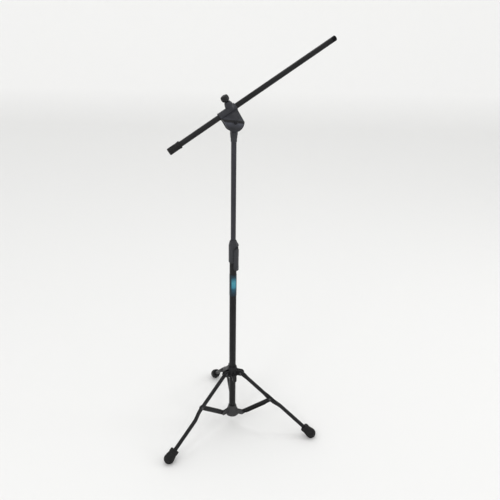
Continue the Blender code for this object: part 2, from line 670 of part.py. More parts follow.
def soften(obj, width, segments=2):
    """Round the sharp edges of a piece and bake the result."""
    bm = bmesh.new()
    bm.from_mesh(obj.data)
    sharp = [e for e in bm.edges if e.is_manifold and e.calc_face_angle() > radians(40)]
    bmesh.ops.bevel(bm, geom=sharp, offset=width, segments=segments, affect="EDGES",
                    profile=0.5, clamp_overlap=True)
    bm.to_mesh(obj.data)
    bm.free()
    obj.data.shade_smooth()
    obj.data.set_sharp_from_angle(angle=EDGE)


def cut_local(obj, bm):
    """Cut obj with a tool given in obj's own frame."""
    bpy.context.view_layer.update()
    bm.transform(obj.matrix_world)
    cut(obj, tool(bm))


def join_local(obj, bm):
    """Join a tool given in obj's own frame to obj."""
    bpy.context.view_layer.update()
    bm.transform(obj.matrix_world)
    join(obj, tool(bm))


# ---- height clutch ---------------------------------------------------------------------
def oval(x_half, y_half, low, high, top_x, top_y, sides=ROUND):
    """An oval post from low to high, its top as wide as top_x by top_y."""
    bm = bmesh.new()
    rings = []
    for height, a, b in ((low, x_half, y_half), (high, top_x, top_y)):
        rings.append([bm.verts.new((a * cos(tau * i / sides), b * sin(tau * i / sides), height))
                      for i in range(sides)])
    skin(bm, rings)
    bm.faces.new(rings[0])
    bm.faces.new(rings[1])
    return bm


def make_clutch(holder):
    """Sleeve on the lower tube's end, with a half shell, a shoulder and a web."""
    bore = LOWER_TUBE_R + GAP
    neck_bore = UPPER_TUBE_R + GAP
    step = LOWER_TUBE_TOP + GAP
    sleeve = [(bore, CLUTCH_BOTTOM), (SLEEVE_R, CLUTCH_BOTTOM), (SLEEVE_R, CLUTCH_SHOULDER),
              (UPPER_TUBE_R + 0.0020, CLUTCH_TOP), (neck_bore, CLUTCH_TOP), (neck_bore, step),
              (bore, step)]
    body = finish("clutch_body", turned(sleeve), FINISH["plastic"], holder)
    shell = [(bore + 0.0005, CLUTCH_BOTTOM + 0.0005), (SHELL_R, CLUTCH_BOTTOM + 0.0020),
             (SHELL_R, CLUTCH_SHOULDER - 0.0080), (SHELL_R - 0.0020, CLUTCH_SHOULDER - 0.0010),
             (bore + 0.0005, CLUTCH_SHOULDER - 0.0005)]
    half = tool(turned(shell))
    cut(half, tool(block((0.0, -0.05, 0.0), (0.05, 0.05, CLUTCH_TOP))))
    half.parent = holder
    join(body, half)
    shoulder_low = LEVER_PIN_Z + LEVER_EAR_R + 2 * GAP
    shoulder = tool(oval(LEVER_X - 0.0004, LEVER_Y - 0.0004, shoulder_low,
                         CLUTCH_SHOULDER - 0.0012, SLEEVE_R + 0.0010, SLEEVE_R + 0.0008))
    cut(shoulder, tool(block((-0.05, -0.05, 0.0), (-0.0005, 0.05, CLUTCH_TOP))))
    cut(shoulder, tool(turned(rod(bore + 0.0004, 0.0, 1.0))))
    shoulder.parent = holder
    join(body, shoulder)
    web = tool(block((bore + 0.0004, -WEB_HALF, LEVER_PIN_Z - WEB_UNDER_PIN),
                     (LEVER_X - 0.0030, WEB_HALF, shoulder_low + 0.0010)))
    web.parent = holder
    join(body, web)
    window = tool(block((UPPER_TUBE_R * 0.5, -WINDOW_HALF, LOWER_TUBE_TOP + WINDOW_UP),
                        (SHELL_R + 0.01, WINDOW_HALF,
                         LEVER_PIN_Z - LEVER_PIN_R - WINDOW_UNDER_PIN)))
    window.parent = holder
    cut(body, window)
    drill_holder(body, LEVER_PIN_R + 0.0002, (LEVER_PIN_X, 0.0, LEVER_PIN_Z), holder)


def drill_holder(target, radius, place, holder):
    """Drill along y through a piece that hangs on a turned frame."""
    bit = tool(move(turned(rod(radius, -LONG_DRILL, LONG_DRILL), SMALL_ROUND, "Y"), place))
    bit.parent = holder
    cut(target, bit)


def lever_outline():
    """Side view of the lever: round top about the pin, hooked toe at the bottom."""
    top = arc((LEVER_PIN_X, LEVER_PIN_Z), LEVER_EAR_R, radians(-5), radians(50), 6)
    low = LEVER_PIN_Z + LEVER_EAR_R - LEVER_LENGTH
    inner = 0.0010
    outline = [(LEVER_X, low + 0.0050), (LEVER_X, LEVER_PIN_Z - 0.0030)]
    outline += top
    outline += [(LEVER_PIN_X + 0.0022, LEVER_PIN_Z + 0.0001), (inner + 0.0036, LEVER_PIN_Z - 0.0005),
                (inner + 0.0036, LEVER_PIN_Z - 0.0080), (inner, LEVER_PIN_Z - 0.0140),
                (inner, low + 0.0120), (inner + 0.0080, low), (LEVER_X - 0.0045, low)]
    return outline


def make_lever(holder):
    """Half shell that clamps the upper tube; its top is a fork about the pin."""
    pivot = Vector((LEVER_PIN_X, 0.0, LEVER_PIN_Z))
    bm = slab(lever_outline(), -LEVER_Y, LEVER_Y)
    lever = finish("clutch_lever", bm, FINISH["plastic"], holder)
    low = LEVER_PIN_Z - LEVER_LENGTH
    high = LEVER_PIN_Z + 0.02
    post = tool(oval(LEVER_X, LEVER_Y, low, high, LEVER_X, LEVER_Y))
    post.parent = holder
    keep_inside(lever, post)
    bore = tool(turned(rod(LEVER_BORE_R, low, high)))
    bore.parent = holder
    cut(lever, bore)
    notch = tool(block((0.0, -WEB_HALF - GAP, LEVER_PIN_Z - NOTCH_UNDER_PIN),
                       (0.05, WEB_HALF + GAP, high)))
    notch.parent = holder
    cut(lever, notch)
    drill_holder(lever, LEVER_PIN_R + 0.0002, pivot, holder)
    lever.data.transform(Matrix.Translation(-pivot))
    lever.location = pivot


def make_lever_pin(holder):
    pivot = Vector((LEVER_PIN_X, 0.0, LEVER_PIN_Z))
    reach = LEVER_Y * sqrt(1.0 - (LEVER_PIN_X / LEVER_X) ** 2)
    bm = move(turned(rod(LEVER_PIN_R, -reach, reach), SMALL_ROUND, "Y"), pivot)
    finish("clutch_pin", bm, FINISH["steel"], holder, pivot)


def make_clutch_pad(holder):
    """Brake shoe between the lever and the upper tube, hollowed to the tube."""
    half = WINDOW_HALF - GAP
    low = LOWER_TUBE_TOP + WINDOW_UP + GAP
    high = LEVER_PIN_Z - LEVER_PIN_R - WINDOW_UNDER_PIN - GAP
    pad = finish("clutch_pad", block((0.0, -half, low), (SHELL_R, half, high)),
                 FINISH["nylon"], holder)
    between = tool(turned(ring(UPPER_TUBE_R + GAP, LEVER_BORE_R - GAP, low - 0.01, high + 0.01)))
    between.parent = holder
    keep_inside(pad, between)


# ---- boom swivel -----------------------------------------------------------------------
def make_swivel_base():
    """Socket on the upper tube, growing into the tongue that the head tilts on."""
    low = UPPER_TUBE_TOP - SOCKET_DEPTH
    top = SWIVEL_PIVOT.z - CHEEK_R - 2 * GAP
    bore = UPPER_TUBE_R + GAP
    stop = UPPER_TUBE_TOP + GAP
    ledge = (SOCKET_TOE_R + SOCKET_R) / 2
    socket = [(0.0, low), (SOCKET_TOE_R, low), (ledge, low + 0.0120), (SOCKET_R, top - 0.0070),
              (SOCKET_R, top - 0.0010), (SOCKET_R - 0.0010, top), (0.0, top)]
    base = finish("swivel_base", turned(socket), FINISH["plastic"])
    tongue = turned(rod(TONGUE_R, -TONGUE_HALF, TONGUE_HALF), ROUND, "Y")
    join(base, tool(move(tongue, SWIVEL_PIVOT)))
    stem = block((-SOCKET_R + 0.0010, -TONGUE_HALF, top - 0.0080),
                 (SOCKET_R - 0.0010, TONGUE_HALF, SWIVEL_PIVOT.z))
    join(base, tool(stem))
    cut(base, tool(turned(rod(bore, low - 0.01, stop))))
    drill(base, TILT_BOLT_R + PIN_PLAY, SWIVEL_PIVOT, -LONG_DRILL, LONG_DRILL)


def make_swivel_washers():
    """Fibre washers on both sides of the tongue."""
    inner = TILT_BOLT_R + PIN_PLAY
    for name, side in (("front", -1), ("rear", 1)):
        near = TONGUE_HALF + GAP
        low, high = sorted((side * near, side * (near + WASHER_THICK)))
        bm = move(turned(ring(inner, WASHER_R, low, high), 24, "Y"), SWIVEL_PIVOT)
        finish(f"swivel_washer_{name}", bm, FINISH["nylon"], None, SWIVEL_PIVOT)


def cheek_faces():
    """Inner and outer distance of a cheek from the stand's middle plane."""
    inner = TONGUE_HALF + 2 * GAP + WASHER_THICK
    return inner, inner + CHEEK_THICK


def make_swivel_head(tilt):
    """Two cheeks, round below, the sleeve round the boom and the clamp's neck, in one."""
    inner, outer = cheek_faces()
    bore = BOOM_BORE
    sleeve_r = bore + SLEEVE_WALL
    low = (pi + acos(CHEEK_TAIL_SIDE / CHEEK_R), tau - acos(CHEEK_TIP_SIDE / CHEEK_R))
    outline = arc((0.0, 0.0), CHEEK_R, low[0], low[1], 24)
    outline += [(CHEEK_TIP_SIDE, CHEEK_TOP), (-CHEEK_TAIL_SIDE, CHEEK_TOP)]
    drum = finish("swivel_head", slab(outline, -outer, outer), FINISH["plastic"], tilt)
    soften(drum, 0.0025)
    sleeve = turned(rod(sleeve_r, -SLEEVE_TAIL, SLEEVE_TIP), 28, "X")
    join_local(drum, move(sleeve, (0.0, 0.0, BOOM_HEIGHT)))
    neck = [(0.0, BOOM_HEIGHT), (NECK_R, BOOM_HEIGHT), (NECK_R, BOOM_HEIGHT + bore + NECK_FOOT),
            (NECK_TOP_R, NECK_TOP), (0.0, NECK_TOP)]
    join_local(drum, move(turned(neck, 24), (CLAMP_U, 0.0, 0.0)))
    cut_local(drum, move(turned(rod(bore, -0.06, 0.06), 28, "X"), (0.0, 0.0, BOOM_HEIGHT)))
    slot_top = TONGUE_R + SLOT_CLEAR
    cut_local(drum, block((-0.05, -inner, -0.05), (0.05, inner, slot_top)))
    pocket_top = BOOM_HEIGHT + bore + CLAMP_PAD_THICK + PAD_ROOM
    pocket = turned(rod(CLAMP_PAD_R + GAP, BOOM_HEIGHT, pocket_top), 20)
    cut_local(drum, move(pocket, (CLAMP_U, 0.0, 0.0)))
    thread = turned(rod(CLAMP_SCREW_R + GAP, BOOM_HEIGHT, NECK_TOP + 0.01), 20)
    cut_local(drum, move(thread, (CLAMP_U, 0.0, 0.0)))
    cut_local(drum, turned(rod(TILT_BOLT_R + PIN_PLAY, -LONG_DRILL, LONG_DRILL), SMALL_ROUND, "Y"))
    cut_local(drum, turned(rod(TILT_HEAD_R + GAP, -0.03, TILT_HEAD - outer), 24, "Y"))
    nut_seat = turned(rod(TILT_HEAD_R + 2 * GAP, outer - TILT_HEAD, 0.03), 6, "Y")
    cut_local(drum, nut_seat)


def make_tilt_bolt(tilt):
    """The tilt pivot's bolt, its head sunk in one cheek and its nut in the other."""
    outer = cheek_faces()[1]
    outline = [(0.0, -outer), (TILT_HEAD_R, -outer), (TILT_HEAD_R, TILT_HEAD - outer - GAP),
               (TILT_BOLT_R, TILT_HEAD - outer - GAP), (TILT_BOLT_R, outer), (0.0, outer)]
    finish("tilt_bolt", turned(outline, 24, "Y"), FINISH["dark"], tilt)
    nut = hex_nut(TILT_BOLT_R, TILT_HEAD_R, outer - TILT_HEAD + GAP, outer)
    finish("tilt_nut", nut, FINISH["dark"], tilt)


def make_boom_liner(boom):
    """Split nylon liner that turns with the boom in its sleeve."""
    inner = BOOM_R + GAP
    liner = ring(inner, inner + LINER_WALL, -SLEEVE_TAIL, SLEEVE_TIP)
    piece = finish("boom_liner", turned(liner, 28, "X"), FINISH["nylon"], boom)
    gap = block((-0.05, -LINER_SLOT / 2, -0.02), (0.05, LINER_SLOT / 2, 0.0))
    cut_local(piece, gap)


def make_boom_clamp(tilt):
    """Pad, screw and lobed knob on the neck above the boom."""
    pad_low = BOOM_HEIGHT + BOOM_BORE
    axis = (CLAMP_U, 0.0, 0.0)
    pad = turned(rod(CLAMP_PAD_R, pad_low, pad_low + CLAMP_PAD_THICK), 20)
    finish("boom_clamp_pad", move(pad, axis), FINISH["nylon"], tilt, axis)
    screw_low = pad_low + CLAMP_PAD_THICK + GAP
    knob_low = NECK_TOP + GAP
    screw_top = knob_low + SCREW_IN_KNOB
    screw = turned(rod(CLAMP_SCREW_R, screw_low, screw_top), SMALL_ROUND)
    finish("boom_clamp_screw", move(screw, axis), FINISH["steel"], tilt, axis)
    knob = finish("boom_knob", move(lobed_knob(knob_low), axis), FINISH["black"], tilt, axis)
    cut_local(knob, turned(rod(CLAMP_SCREW_R + GAP, 0.0, screw_top + GAP), SMALL_ROUND))


def lobed_knob(low):
    """Knob with round lobes: a turned profile whose radius swells at each lobe."""
    sides = 10 * KNOB_LOBES
    profile = [(0.55, 0.0), (0.78, 0.12), (1.0, 0.32), (1.0, 0.70), (0.90, 0.90), (0.68, 1.0)]
    bm = bmesh.new()
    rings = []
    for share, height in profile:
        loop = []
        for i in range(sides):
            turn = tau * i / sides
            lobe = 1.0 - 0.14 * share * (1.0 - cos(KNOB_LOBES * turn)) / 2
            radius = KNOB_R * share * lobe
            loop.append(bm.verts.new((radius * cos(turn), radius * sin(turn),
                                      low + KNOB_HEIGHT * height)))
        rings.append(loop)
    skin(bm, rings)
    bm.faces.new(rings[0])
    bm.faces.new(rings[-1])
    return bm


# ---- boom ------------------------------------------------------------------------------
def make_boom(boom):
    """The boom tube, its rubber tail cap and its threaded tip."""
    tip = BOOM_LENGTH - BOOM_TAIL
    bore = BOOM_R - BOOM_WALL
    finish("boom_tube", turned(ring(bore, BOOM_R, -BOOM_TAIL, tip), ROUND, "X"),
           FINISH["paint"], boom)
    inner = BOOM_R + GAP
    end = -BOOM_TAIL - GAP - TAIL_CAP_END
    front = end + TAIL_CAP_LENGTH
    cap = [(0.0, end), (TAIL_CAP_R - 0.0015, end), (TAIL_CAP_R, end + 0.0015),
           (TAIL_CAP_R, front - 0.0060), (TAIL_CAP_LIP_R, front - 0.0045),
           (TAIL_CAP_LIP_R, front - 0.0010), (TAIL_CAP_LIP_R - 0.0010, front), (inner, front),
           (inner, -BOOM_TAIL - GAP), (0.0, -BOOM_TAIL - GAP)]
    finish("boom_tail_cap", turned(cap, 28, "X"), FINISH["rubber"], boom)
    start = tip + GAP
    pitch = THREAD_LENGTH / THREAD_RINGS
    thread = [(0.0, tip - THREAD_PLUG), (bore - GAP, tip - THREAD_PLUG), (bore - GAP, start)]
    for i in range(THREAD_RINGS):
        thread.append((THREAD_ROOT_R, start + pitch * i))
        thread.append((THREAD_R, start + pitch * (i + 0.35)))
        thread.append((THREAD_R, start + pitch * (i + 0.65)))
    thread += [(THREAD_ROOT_R - 0.0005, start + THREAD_LENGTH), (0.0, start + THREAD_LENGTH)]
    finish("boom_thread", turned(thread, 20, "X"), FINISH["dark"], boom)


# ---- the whole stand -------------------------------------------------------------------
def make_tripod():
    make_spreader_hub()
    make_leg_hub()
    for number, azimuth in enumerate(STATIONS, start=1):
        station = frame(f"station_{number}", (0.0, 0.0, 0.0), (0.0, 0.0, azimuth))
        make_arm_rivet(number, station)
        make_arm(number, station)
        make_leg(number, station)
        make_brace_rivet(number, station)
        make_foot(number, station)
        make_leg_bolt(number, station)
    make_hub_knob()


def make_column():
    make_lower_tube()
    make_label()
    make_end_plug()
    slide = frame("column_slide", (0.0, 0.0, 0.0))
    make_upper_tube(slide)
    holder = frame("clutch_frame", (0.0, 0.0, 0.0), (0.0, 0.0, CLUTCH_AZIMUTH))
    make_clutch(holder)
    make_lever(holder)
    make_lever_pin(holder)
    make_clutch_pad(holder)


def make_boom_arm():
    make_swivel_base()
    make_swivel_washers()
    tilt = frame("tilt_pivot", SWIVEL_PIVOT, (0.0, -BOOM_TILT, 0.0))
    make_swivel_head(tilt)
    make_tilt_bolt(tilt)
    make_boom_clamp(tilt)
    boom = frame("boom_axis", (0.0, 0.0, BOOM_HEIGHT), parent=tilt)
    make_boom_liner(boom)
    make_boom(boom)


clear_scene()
FINISH = make_materials()
make_tripod()
make_column()
make_boom_arm()
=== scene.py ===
"""Boom microphone stand: the finished surfaces of its pieces, round the fixed frame.

Metres, +Z up, the origin on the floor under the column. A leg's station is a frame
turned about the column, with x outward, y sideways and z up. The tilt frame sits on
the boom's pivot, with x along the boom and z square to it.
"""

import bmesh
import bpy
import numpy as np
from mathutils import Matrix, Vector


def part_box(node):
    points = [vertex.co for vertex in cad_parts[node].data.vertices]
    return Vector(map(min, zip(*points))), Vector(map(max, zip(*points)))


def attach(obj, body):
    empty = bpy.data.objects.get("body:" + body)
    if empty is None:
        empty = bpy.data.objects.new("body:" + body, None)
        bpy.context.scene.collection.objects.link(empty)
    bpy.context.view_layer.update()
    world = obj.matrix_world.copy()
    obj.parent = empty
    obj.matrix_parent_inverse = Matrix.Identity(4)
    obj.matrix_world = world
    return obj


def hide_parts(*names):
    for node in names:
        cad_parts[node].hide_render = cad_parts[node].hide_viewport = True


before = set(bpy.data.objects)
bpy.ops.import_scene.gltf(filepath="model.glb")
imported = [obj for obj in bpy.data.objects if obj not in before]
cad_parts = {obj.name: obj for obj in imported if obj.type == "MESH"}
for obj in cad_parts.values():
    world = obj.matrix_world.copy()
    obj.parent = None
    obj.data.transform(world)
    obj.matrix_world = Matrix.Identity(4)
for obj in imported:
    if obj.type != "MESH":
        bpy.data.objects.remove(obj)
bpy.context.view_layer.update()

TAU = 2 * np.pi
GAP = 0.0003

# column
LOWER_R, LOWER_WALL, LOWER_LOW, LOWER_TOP = 0.0111, 0.0012, 0.0455, 0.6620
UPPER_R, UPPER_WALL, UPPER_LOW, UPPER_TOP = 0.00795, 0.0010, 0.3730, 1.0280

# tripod
STATIONS = np.radians([-155.6, -35.6, 84.4])
LEG_ANGLE = np.radians(51.2)
LEG_LENGTH, LEG_R, LEG_PIVOT_R = 0.3219, 0.00635, 0.0305
LEG_SIDE, LEG_JOG, BRACE = -0.0012, 0.0072, 0.1355
EYE_WIDE, EYE_THICK = 0.0088, 0.0025
BALL_Z = 0.0163
LEG_PIVOT_Z = BALL_Z + LEG_LENGTH * np.cos(LEG_ANGLE)
ARM_PIVOT = np.array([0.0360, 0.0, 0.0575])
BRACE_PIVOT = np.array([LEG_PIVOT_R + BRACE * np.sin(LEG_ANGLE), 0.0,
                        LEG_PIVOT_Z - BRACE * np.cos(LEG_ANGLE)])
ARM_LENGTH = np.hypot(*(BRACE_PIVOT - ARM_PIVOT)[[0, 2]])
ARM_WIDE, ARM_THICK, ARM_FLANGE = 0.0080, 0.0018, 0.0040
ARM_FACE = LEG_SIDE - EYE_THICK - 2 * GAP - 0.0001
ARM_BACK = ARM_FACE - ARM_THICK
SPREADER_FACES = ((ARM_FACE + GAP, ARM_FACE + GAP + 0.0030),
                  (ARM_BACK - GAP - 0.0030, ARM_BACK - GAP))
EYE_SIDE = 0.0006
HUB_FACES = ((LEG_SIDE + EYE_THICK + EYE_SIDE, LEG_SIDE + EYE_THICK + EYE_SIDE + 0.0040),
             (LEG_SIDE - EYE_THICK - EYE_SIDE - 0.0040, LEG_SIDE - EYE_THICK - EYE_SIDE))
KNOB_TURN = np.radians(-95.6)
LABEL_FRONT = (-0.0480, -0.9988, 0.0)    # the way the blue side of the label faces
KNOB_Z = LEG_PIVOT_Z - 0.0110

# height clutch
CLUTCH_TURN = np.radians(-18.4)
CLUTCH_LOW, CLUTCH_SHOULDER, CLUTCH_TOP = 0.6230, 0.6890, 0.6965
PIN_X, PIN_Z = 0.0108, 0.6710
LEVER_LOW = PIN_Z + 0.0068 - 0.0820
LEVER_WIDE, LEVER_DEEP, LEVER_INSIDE = 0.0179, 0.0150, 0.0133    # half its oval, its bore
PANEL_LOW, PANEL_HIGH, GRIP_PITCH = 0.6105, 0.6420, 0.0026       # the lever's thumb panel
OVAL_LOW, OVAL_EDGE, OVAL_TOP = 0.6784, 0.6810, 0.6878           # the oval shoulder
WEB_LOW, WEB_HIGH = 0.6692, 0.6794                               # the web the pin crosses

# swivel and boom
PIVOT = np.array([0.0, 0.0, 1.0580])
TILT = np.radians(31.4)
CHEEK_R, CHEEK_IN, CHEEK_OUT = 0.0280, 0.0081, 0.0150
BOOM_UP, BOOM_R = 0.0341, 0.00795
BOOM_TAIL, BOOM_TIP = -0.1990, 0.3650
SLEEVE_BORE = 0.00945
SLEEVE_TAIL, SLEEVE_TIP = -0.0300, 0.0265
CLAMP_X, NECK_TOP = 0.0108, 0.0590
CHEEK_TAIL_SIDE, CHEEK_TIP_SIDE, CHEEK_TOP = 0.0275, 0.0240, 0.0285
FOLD_LEAN, FOLD_OFF = np.radians(-38.0), 0.0030    # the fold across the cheeks
VIEW_AHEAD = (0.3213, 0.8690, -0.3762)             # the way the camera looks


# ---- frames ----
def about_column(turn):
    """Axes of a frame turned about the column: rows are its x, y and z."""
    return np.array([[np.cos(turn), np.sin(turn), 0.0],
                     [-np.sin(turn), np.cos(turn), 0.0], [0.0, 0.0, 1.0]])


TILTED = np.array([[np.cos(TILT), 0.0, np.sin(TILT)], [0.0, 1.0, 0.0],
                   [-np.sin(TILT), 0.0, np.cos(TILT)]])
UPRIGHT = np.eye(3)
ORIGIN = np.zeros(3)


# ---- surfaces ----
def grid_faces(rows, cols, wrap_rows, wrap_cols):
    """Four-sided faces of a grid of rows by cols points, closed where it wraps."""
    r = np.arange(rows if wrap_rows else rows - 1)[:, None]
    c = np.arange(cols if wrap_cols else cols - 1)[None, :]
    r2, c2 = (r + 1) % rows, (c + 1) % cols
    corners = [r * cols + c, r * cols + c2, r2 * cols + c2, r2 * cols + c]
    return np.stack(corners, -1).reshape(-1, 4)


def surface(points, wrap_rows=False, wrap_cols=True):
    """A grid of points (rows, cols, 3) as one shell: its points and its faces."""
    rows, cols = points.shape[:2]
    return points.reshape(-1, 3), grid_faces(rows, cols, wrap_rows, wrap_cols)


def together(*shells):
    """Several shells as one."""
    starts = np.cumsum([0] + [len(p) for p, f in shells[:-1]])
    return (np.concatenate([p for p, f in shells]),
            np.concatenate([f + s for (p, f), s in zip(shells, starts)]))


def placed(shell, axes=UPRIGHT, origin=ORIGIN):
    """A shell carried into a frame with those axes and that origin."""
    points, faces = shell
    return points @ axes + np.asarray(origin), faces


def smooth_step(value, start, end):
    """0 before start, 1 after end, and 3t^2 - 2t^3 between."""
    t = np.clip((value - start) / (end - start), 0.0, 1.0)
    return t * t * (3.0 - 2.0 * t)


def rounded(outline, radius, closed=False, steps=5):
    """An outline whose corners are swapped for parabolas that touch both sides."""
    p = np.asarray(outline, float)
    before, after = np.roll(p, 1, 0), np.roll(p, -1, 0)
    back, ahead = before - p, after - p
    back_len = np.linalg.norm(back, axis=1, keepdims=True) + 1e-12
    ahead_len = np.linalg.norm(ahead, axis=1, keepdims=True) + 1e-12
    size = np.minimum(np.broadcast_to(np.reshape(radius, (-1, 1)), (len(p), 1)),
                      0.48 * np.minimum(back_len, ahead_len))
    if not closed:
        size = size * np.r_[0.0, np.ones(len(p) - 2), 0.0][:, None]
    a, b = p + back / back_len * size, p + ahead / ahead_len * size
    t = np.linspace(0.0, 1.0, steps)[None, :, None]
    curve = a[:, None] * (1 - t) ** 2 + 2 * p[:, None] * t * (1 - t) + b[:, None] * t ** 2
    return curve.reshape(-1, 2)


def around(count):
    """Angles once round, as a row."""
    return np.linspace(0.0, TAU, count, endpoint=False)[None, :]


def turned(outline, sides=96, along="Z", closed=False, swell=None):
    """A surface of revolution: each (radius, height) row swept round the axis.

    swell(turn, height) multiplies the radius, which makes lobes, flats or flutes.
    """
    turn = around(sides)
    radius, height = outline[:, :1], outline[:, 1:]
    factor = 1.0 if swell is None else swell(turn, height)
    r = radius * factor + 0.0 * turn
    ring = np.stack([r * np.cos(turn), r * np.sin(turn), height + 0.0 * turn], -1)
    order = {"Z": (0, 1, 2), "X": (2, 0, 1), "Y": (1, 2, 0)}[along]
    return surface(ring[..., list(order)], wrap_rows=closed)


def tube(inner, outer, low, high, edge, sides=96, along="Z"):
    """A plain tube with softened rims."""
    ring = rounded([(inner, low), (outer, low), (outer, high), (inner, high)], edge, True)
    return turned(ring, sides, along, closed=True)


def plate(outline, low, high, edge):
    """An (x, z) outline given thickness along y, its rims eased by edge.

    Every row is the outline, pulled towards its centre by the ease of that height.
    """
    p = np.asarray(outline, float)
    centre = p.mean(0)
    reach = np.linalg.norm(p - centre, axis=1, keepdims=True)
    turn = np.linspace(0.0, np.pi / 2, 5)
    pull = edge * (1.0 - np.sin(turn))
    level = edge * (1.0 - np.cos(turn))
    pulls = np.r_[pull, pull[::-1]]
    levels = np.r_[low + level, high - level[::-1]]
    rows = centre + (p - centre)[None] * (1.0 - pulls[:, None, None] / reach[None])
    rows = np.concatenate([centre + 0.0 * rows[:1], rows, centre + 0.0 * rows[:1]])
    levels = np.r_[low, levels, high]
    points = np.stack([rows[..., 0], levels[:, None] + 0.0 * rows[..., 0], rows[..., 1]], -1)
    return surface(points)


def lug(tip_x, tip_z, tip_r, root_x, low, high, edge=0.0007):
    """A lug plate: square at its root, round about its hole."""
    turn = np.linspace(-np.pi / 2, np.pi / 2, 25)
    nose = np.stack([tip_x + tip_r * np.cos(turn), tip_z + tip_r * np.sin(turn)], -1)
    side = np.linspace(0.0, 1.0, 6)[1:, None]
    top = nose[-1] + side * ([root_x, tip_z + tip_r] - nose[-1])
    back = top[-1] + side * ([root_x, tip_z - tip_r] - top[-1])
    under = back[-1] + side[:-1] * (nose[0] - back[-1])
    return plate(np.concatenate([nose, top, back, under]), low, high, edge)


# ---- pieces ----
def add_object(name, data):
    """An object of that data, put into the scene."""
    obj = bpy.data.objects.new(name, data)
    bpy.context.scene.collection.objects.link(obj)
    return obj


def piece(name, shell, material, body, nodes=()):
    """Make a piece from a shell, ride it on its body and hide the nodes it stands for."""
    points, faces = shell
    mesh = bpy.data.meshes.new(name)
    mesh.from_pydata(points.tolist(), [], faces.tolist())
    work = bmesh.new()
    work.from_mesh(mesh)
    bmesh.ops.remove_doubles(work, verts=work.verts, dist=1e-6)
    bmesh.ops.dissolve_degenerate(work, edges=work.edges, dist=1e-7)
    bmesh.ops.recalc_face_normals(work, faces=work.faces)
    work.to_mesh(mesh)
    work.free()
    mesh.shade_smooth()
    mesh.set_sharp_from_angle(angle=np.radians(38))
    mesh.materials.append(material)
    obj = add_object(name, mesh)
    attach(obj, body)
    if nodes:
        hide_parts(*nodes)
    return obj


def moulded(obj, cell, passes=4):
    """Fuse a piece's shells into one skin and ease the inner corners."""
    fuse = obj.modifiers.new("fuse", "REMESH")
    fuse.mode = "VOXEL"
    fuse.voxel_size = cell
    fuse.use_smooth_shade = True
    ease = obj.modifiers.new("ease", "SMOOTH")
    ease.factor = 0.5
    ease.iterations = passes


# ---- materials ----
def new_material(name, gloss=0.5):
    """A new material, its node tree and its shader, with the strength of its shine."""
    made = bpy.data.materials.new(name)
    made.use_nodes = True
    shader = made.node_tree.nodes["Principled BSDF"]
    shader.inputs["Specular IOR Level"].default_value = gloss
    return made, made.node_tree, shader


def noise(tree, scale, detail, stretch=(1, 1, 1), rough=0.55):
    """Noise over object coordinates, stretched along some axes."""
    where = tree.nodes.new("ShaderNodeTexCoord")
    shift = tree.nodes.new("ShaderNodeMapping")
    shift.inputs["Scale"].default_value = stretch
    field = tree.nodes.new("ShaderNodeTexNoise")
    field.inputs["Scale"].default_value = scale
    field.inputs["Detail"].default_value = detail
    field.inputs["Roughness"].default_value = rough
    tree.links.new(where.outputs["Object"], shift.inputs["Vector"])
    tree.links.new(shift.outputs["Vector"], field.inputs["Vector"])
    return field.outputs["Fac"]


def ramp(tree, source, stops):
    """Colour along a value; stops are (place, colour)."""
    node = tree.nodes.new("ShaderNodeValToRGB")
    node.color_ramp.elements.remove(node.color_ramp.elements[1])
    node.color_ramp.elements[0].position = stops[0][0]
    node.color_ramp.elements[0].color = (*stops[0][1], 1.0)
    for place, colour in stops[1:]:
        node.color_ramp.elements.new(place).color = (*colour, 1.0)
    tree.links.new(source, node.inputs["Fac"])
    return node.outputs["Color"]


def ranged(tree, source, start, end, low=0.0, high=1.0):
    """A value carried from start..end to low..high."""
    node = tree.nodes.new("ShaderNodeMapRange")
    for name, value in (("From Min", start), ("From Max", end), ("To Min", low), ("To Max", high)):
        node.inputs[name].default_value = value
    tree.links.new(source, node.inputs["Value"])
    return node.outputs["Result"]


def spread_value(tree, source, low, high):
    """A noise value, which stays within 0.3..0.7, carried to low..high."""
    return ranged(tree, source, 0.3, 0.7, low, high)


def facing(tree, place, direction):
    """How far a place lies along a direction."""
    node = tree.nodes.new("ShaderNodeVectorMath")
    node.operation = "DOT_PRODUCT"
    node.inputs[1].default_value = direction
    tree.links.new(place, node.inputs[0])
    return node.outputs["Value"]


def mixed(tree, amount, one, two):
    """One colour turning into another by an amount."""
    node = tree.nodes.new("ShaderNodeMix")
    node.data_type = "RGBA"
    tree.links.new(amount, node.inputs["Factor"])
    for socket, colour in (("A", one), ("B", two)):
        target = [s for s in node.inputs if s.name == socket and s.type == "RGBA"][0]
        if isinstance(colour, tuple):
            target.default_value = (*colour, 1.0)
        else:
            tree.links.new(colour, target)
    return [s for s in node.outputs if s.type == "RGBA"][0]


def bumped(tree, shader, layers):
    """Chain of bumps: (height source, distance in metres, strength)."""
    last = None
    for source, distance, strength in layers:
        node = tree.nodes.new("ShaderNodeBump")
        node.inputs["Distance"].default_value = distance
        node.inputs["Strength"].default_value = strength
        tree.links.new(source, node.inputs["Height"])
        if last is not None:
            tree.links.new(last, node.inputs["Normal"])
        last = node.outputs["Normal"]
    tree.links.new(last, shader.inputs["Normal"])


def patchy(tree, shader, scale, detail, low, high, stretch=(1, 1, 1)):
    """Roughness that wanders between two values."""
    tree.links.new(spread_value(tree, noise(tree, scale, detail, stretch), low, high),
                   shader.inputs["Roughness"])


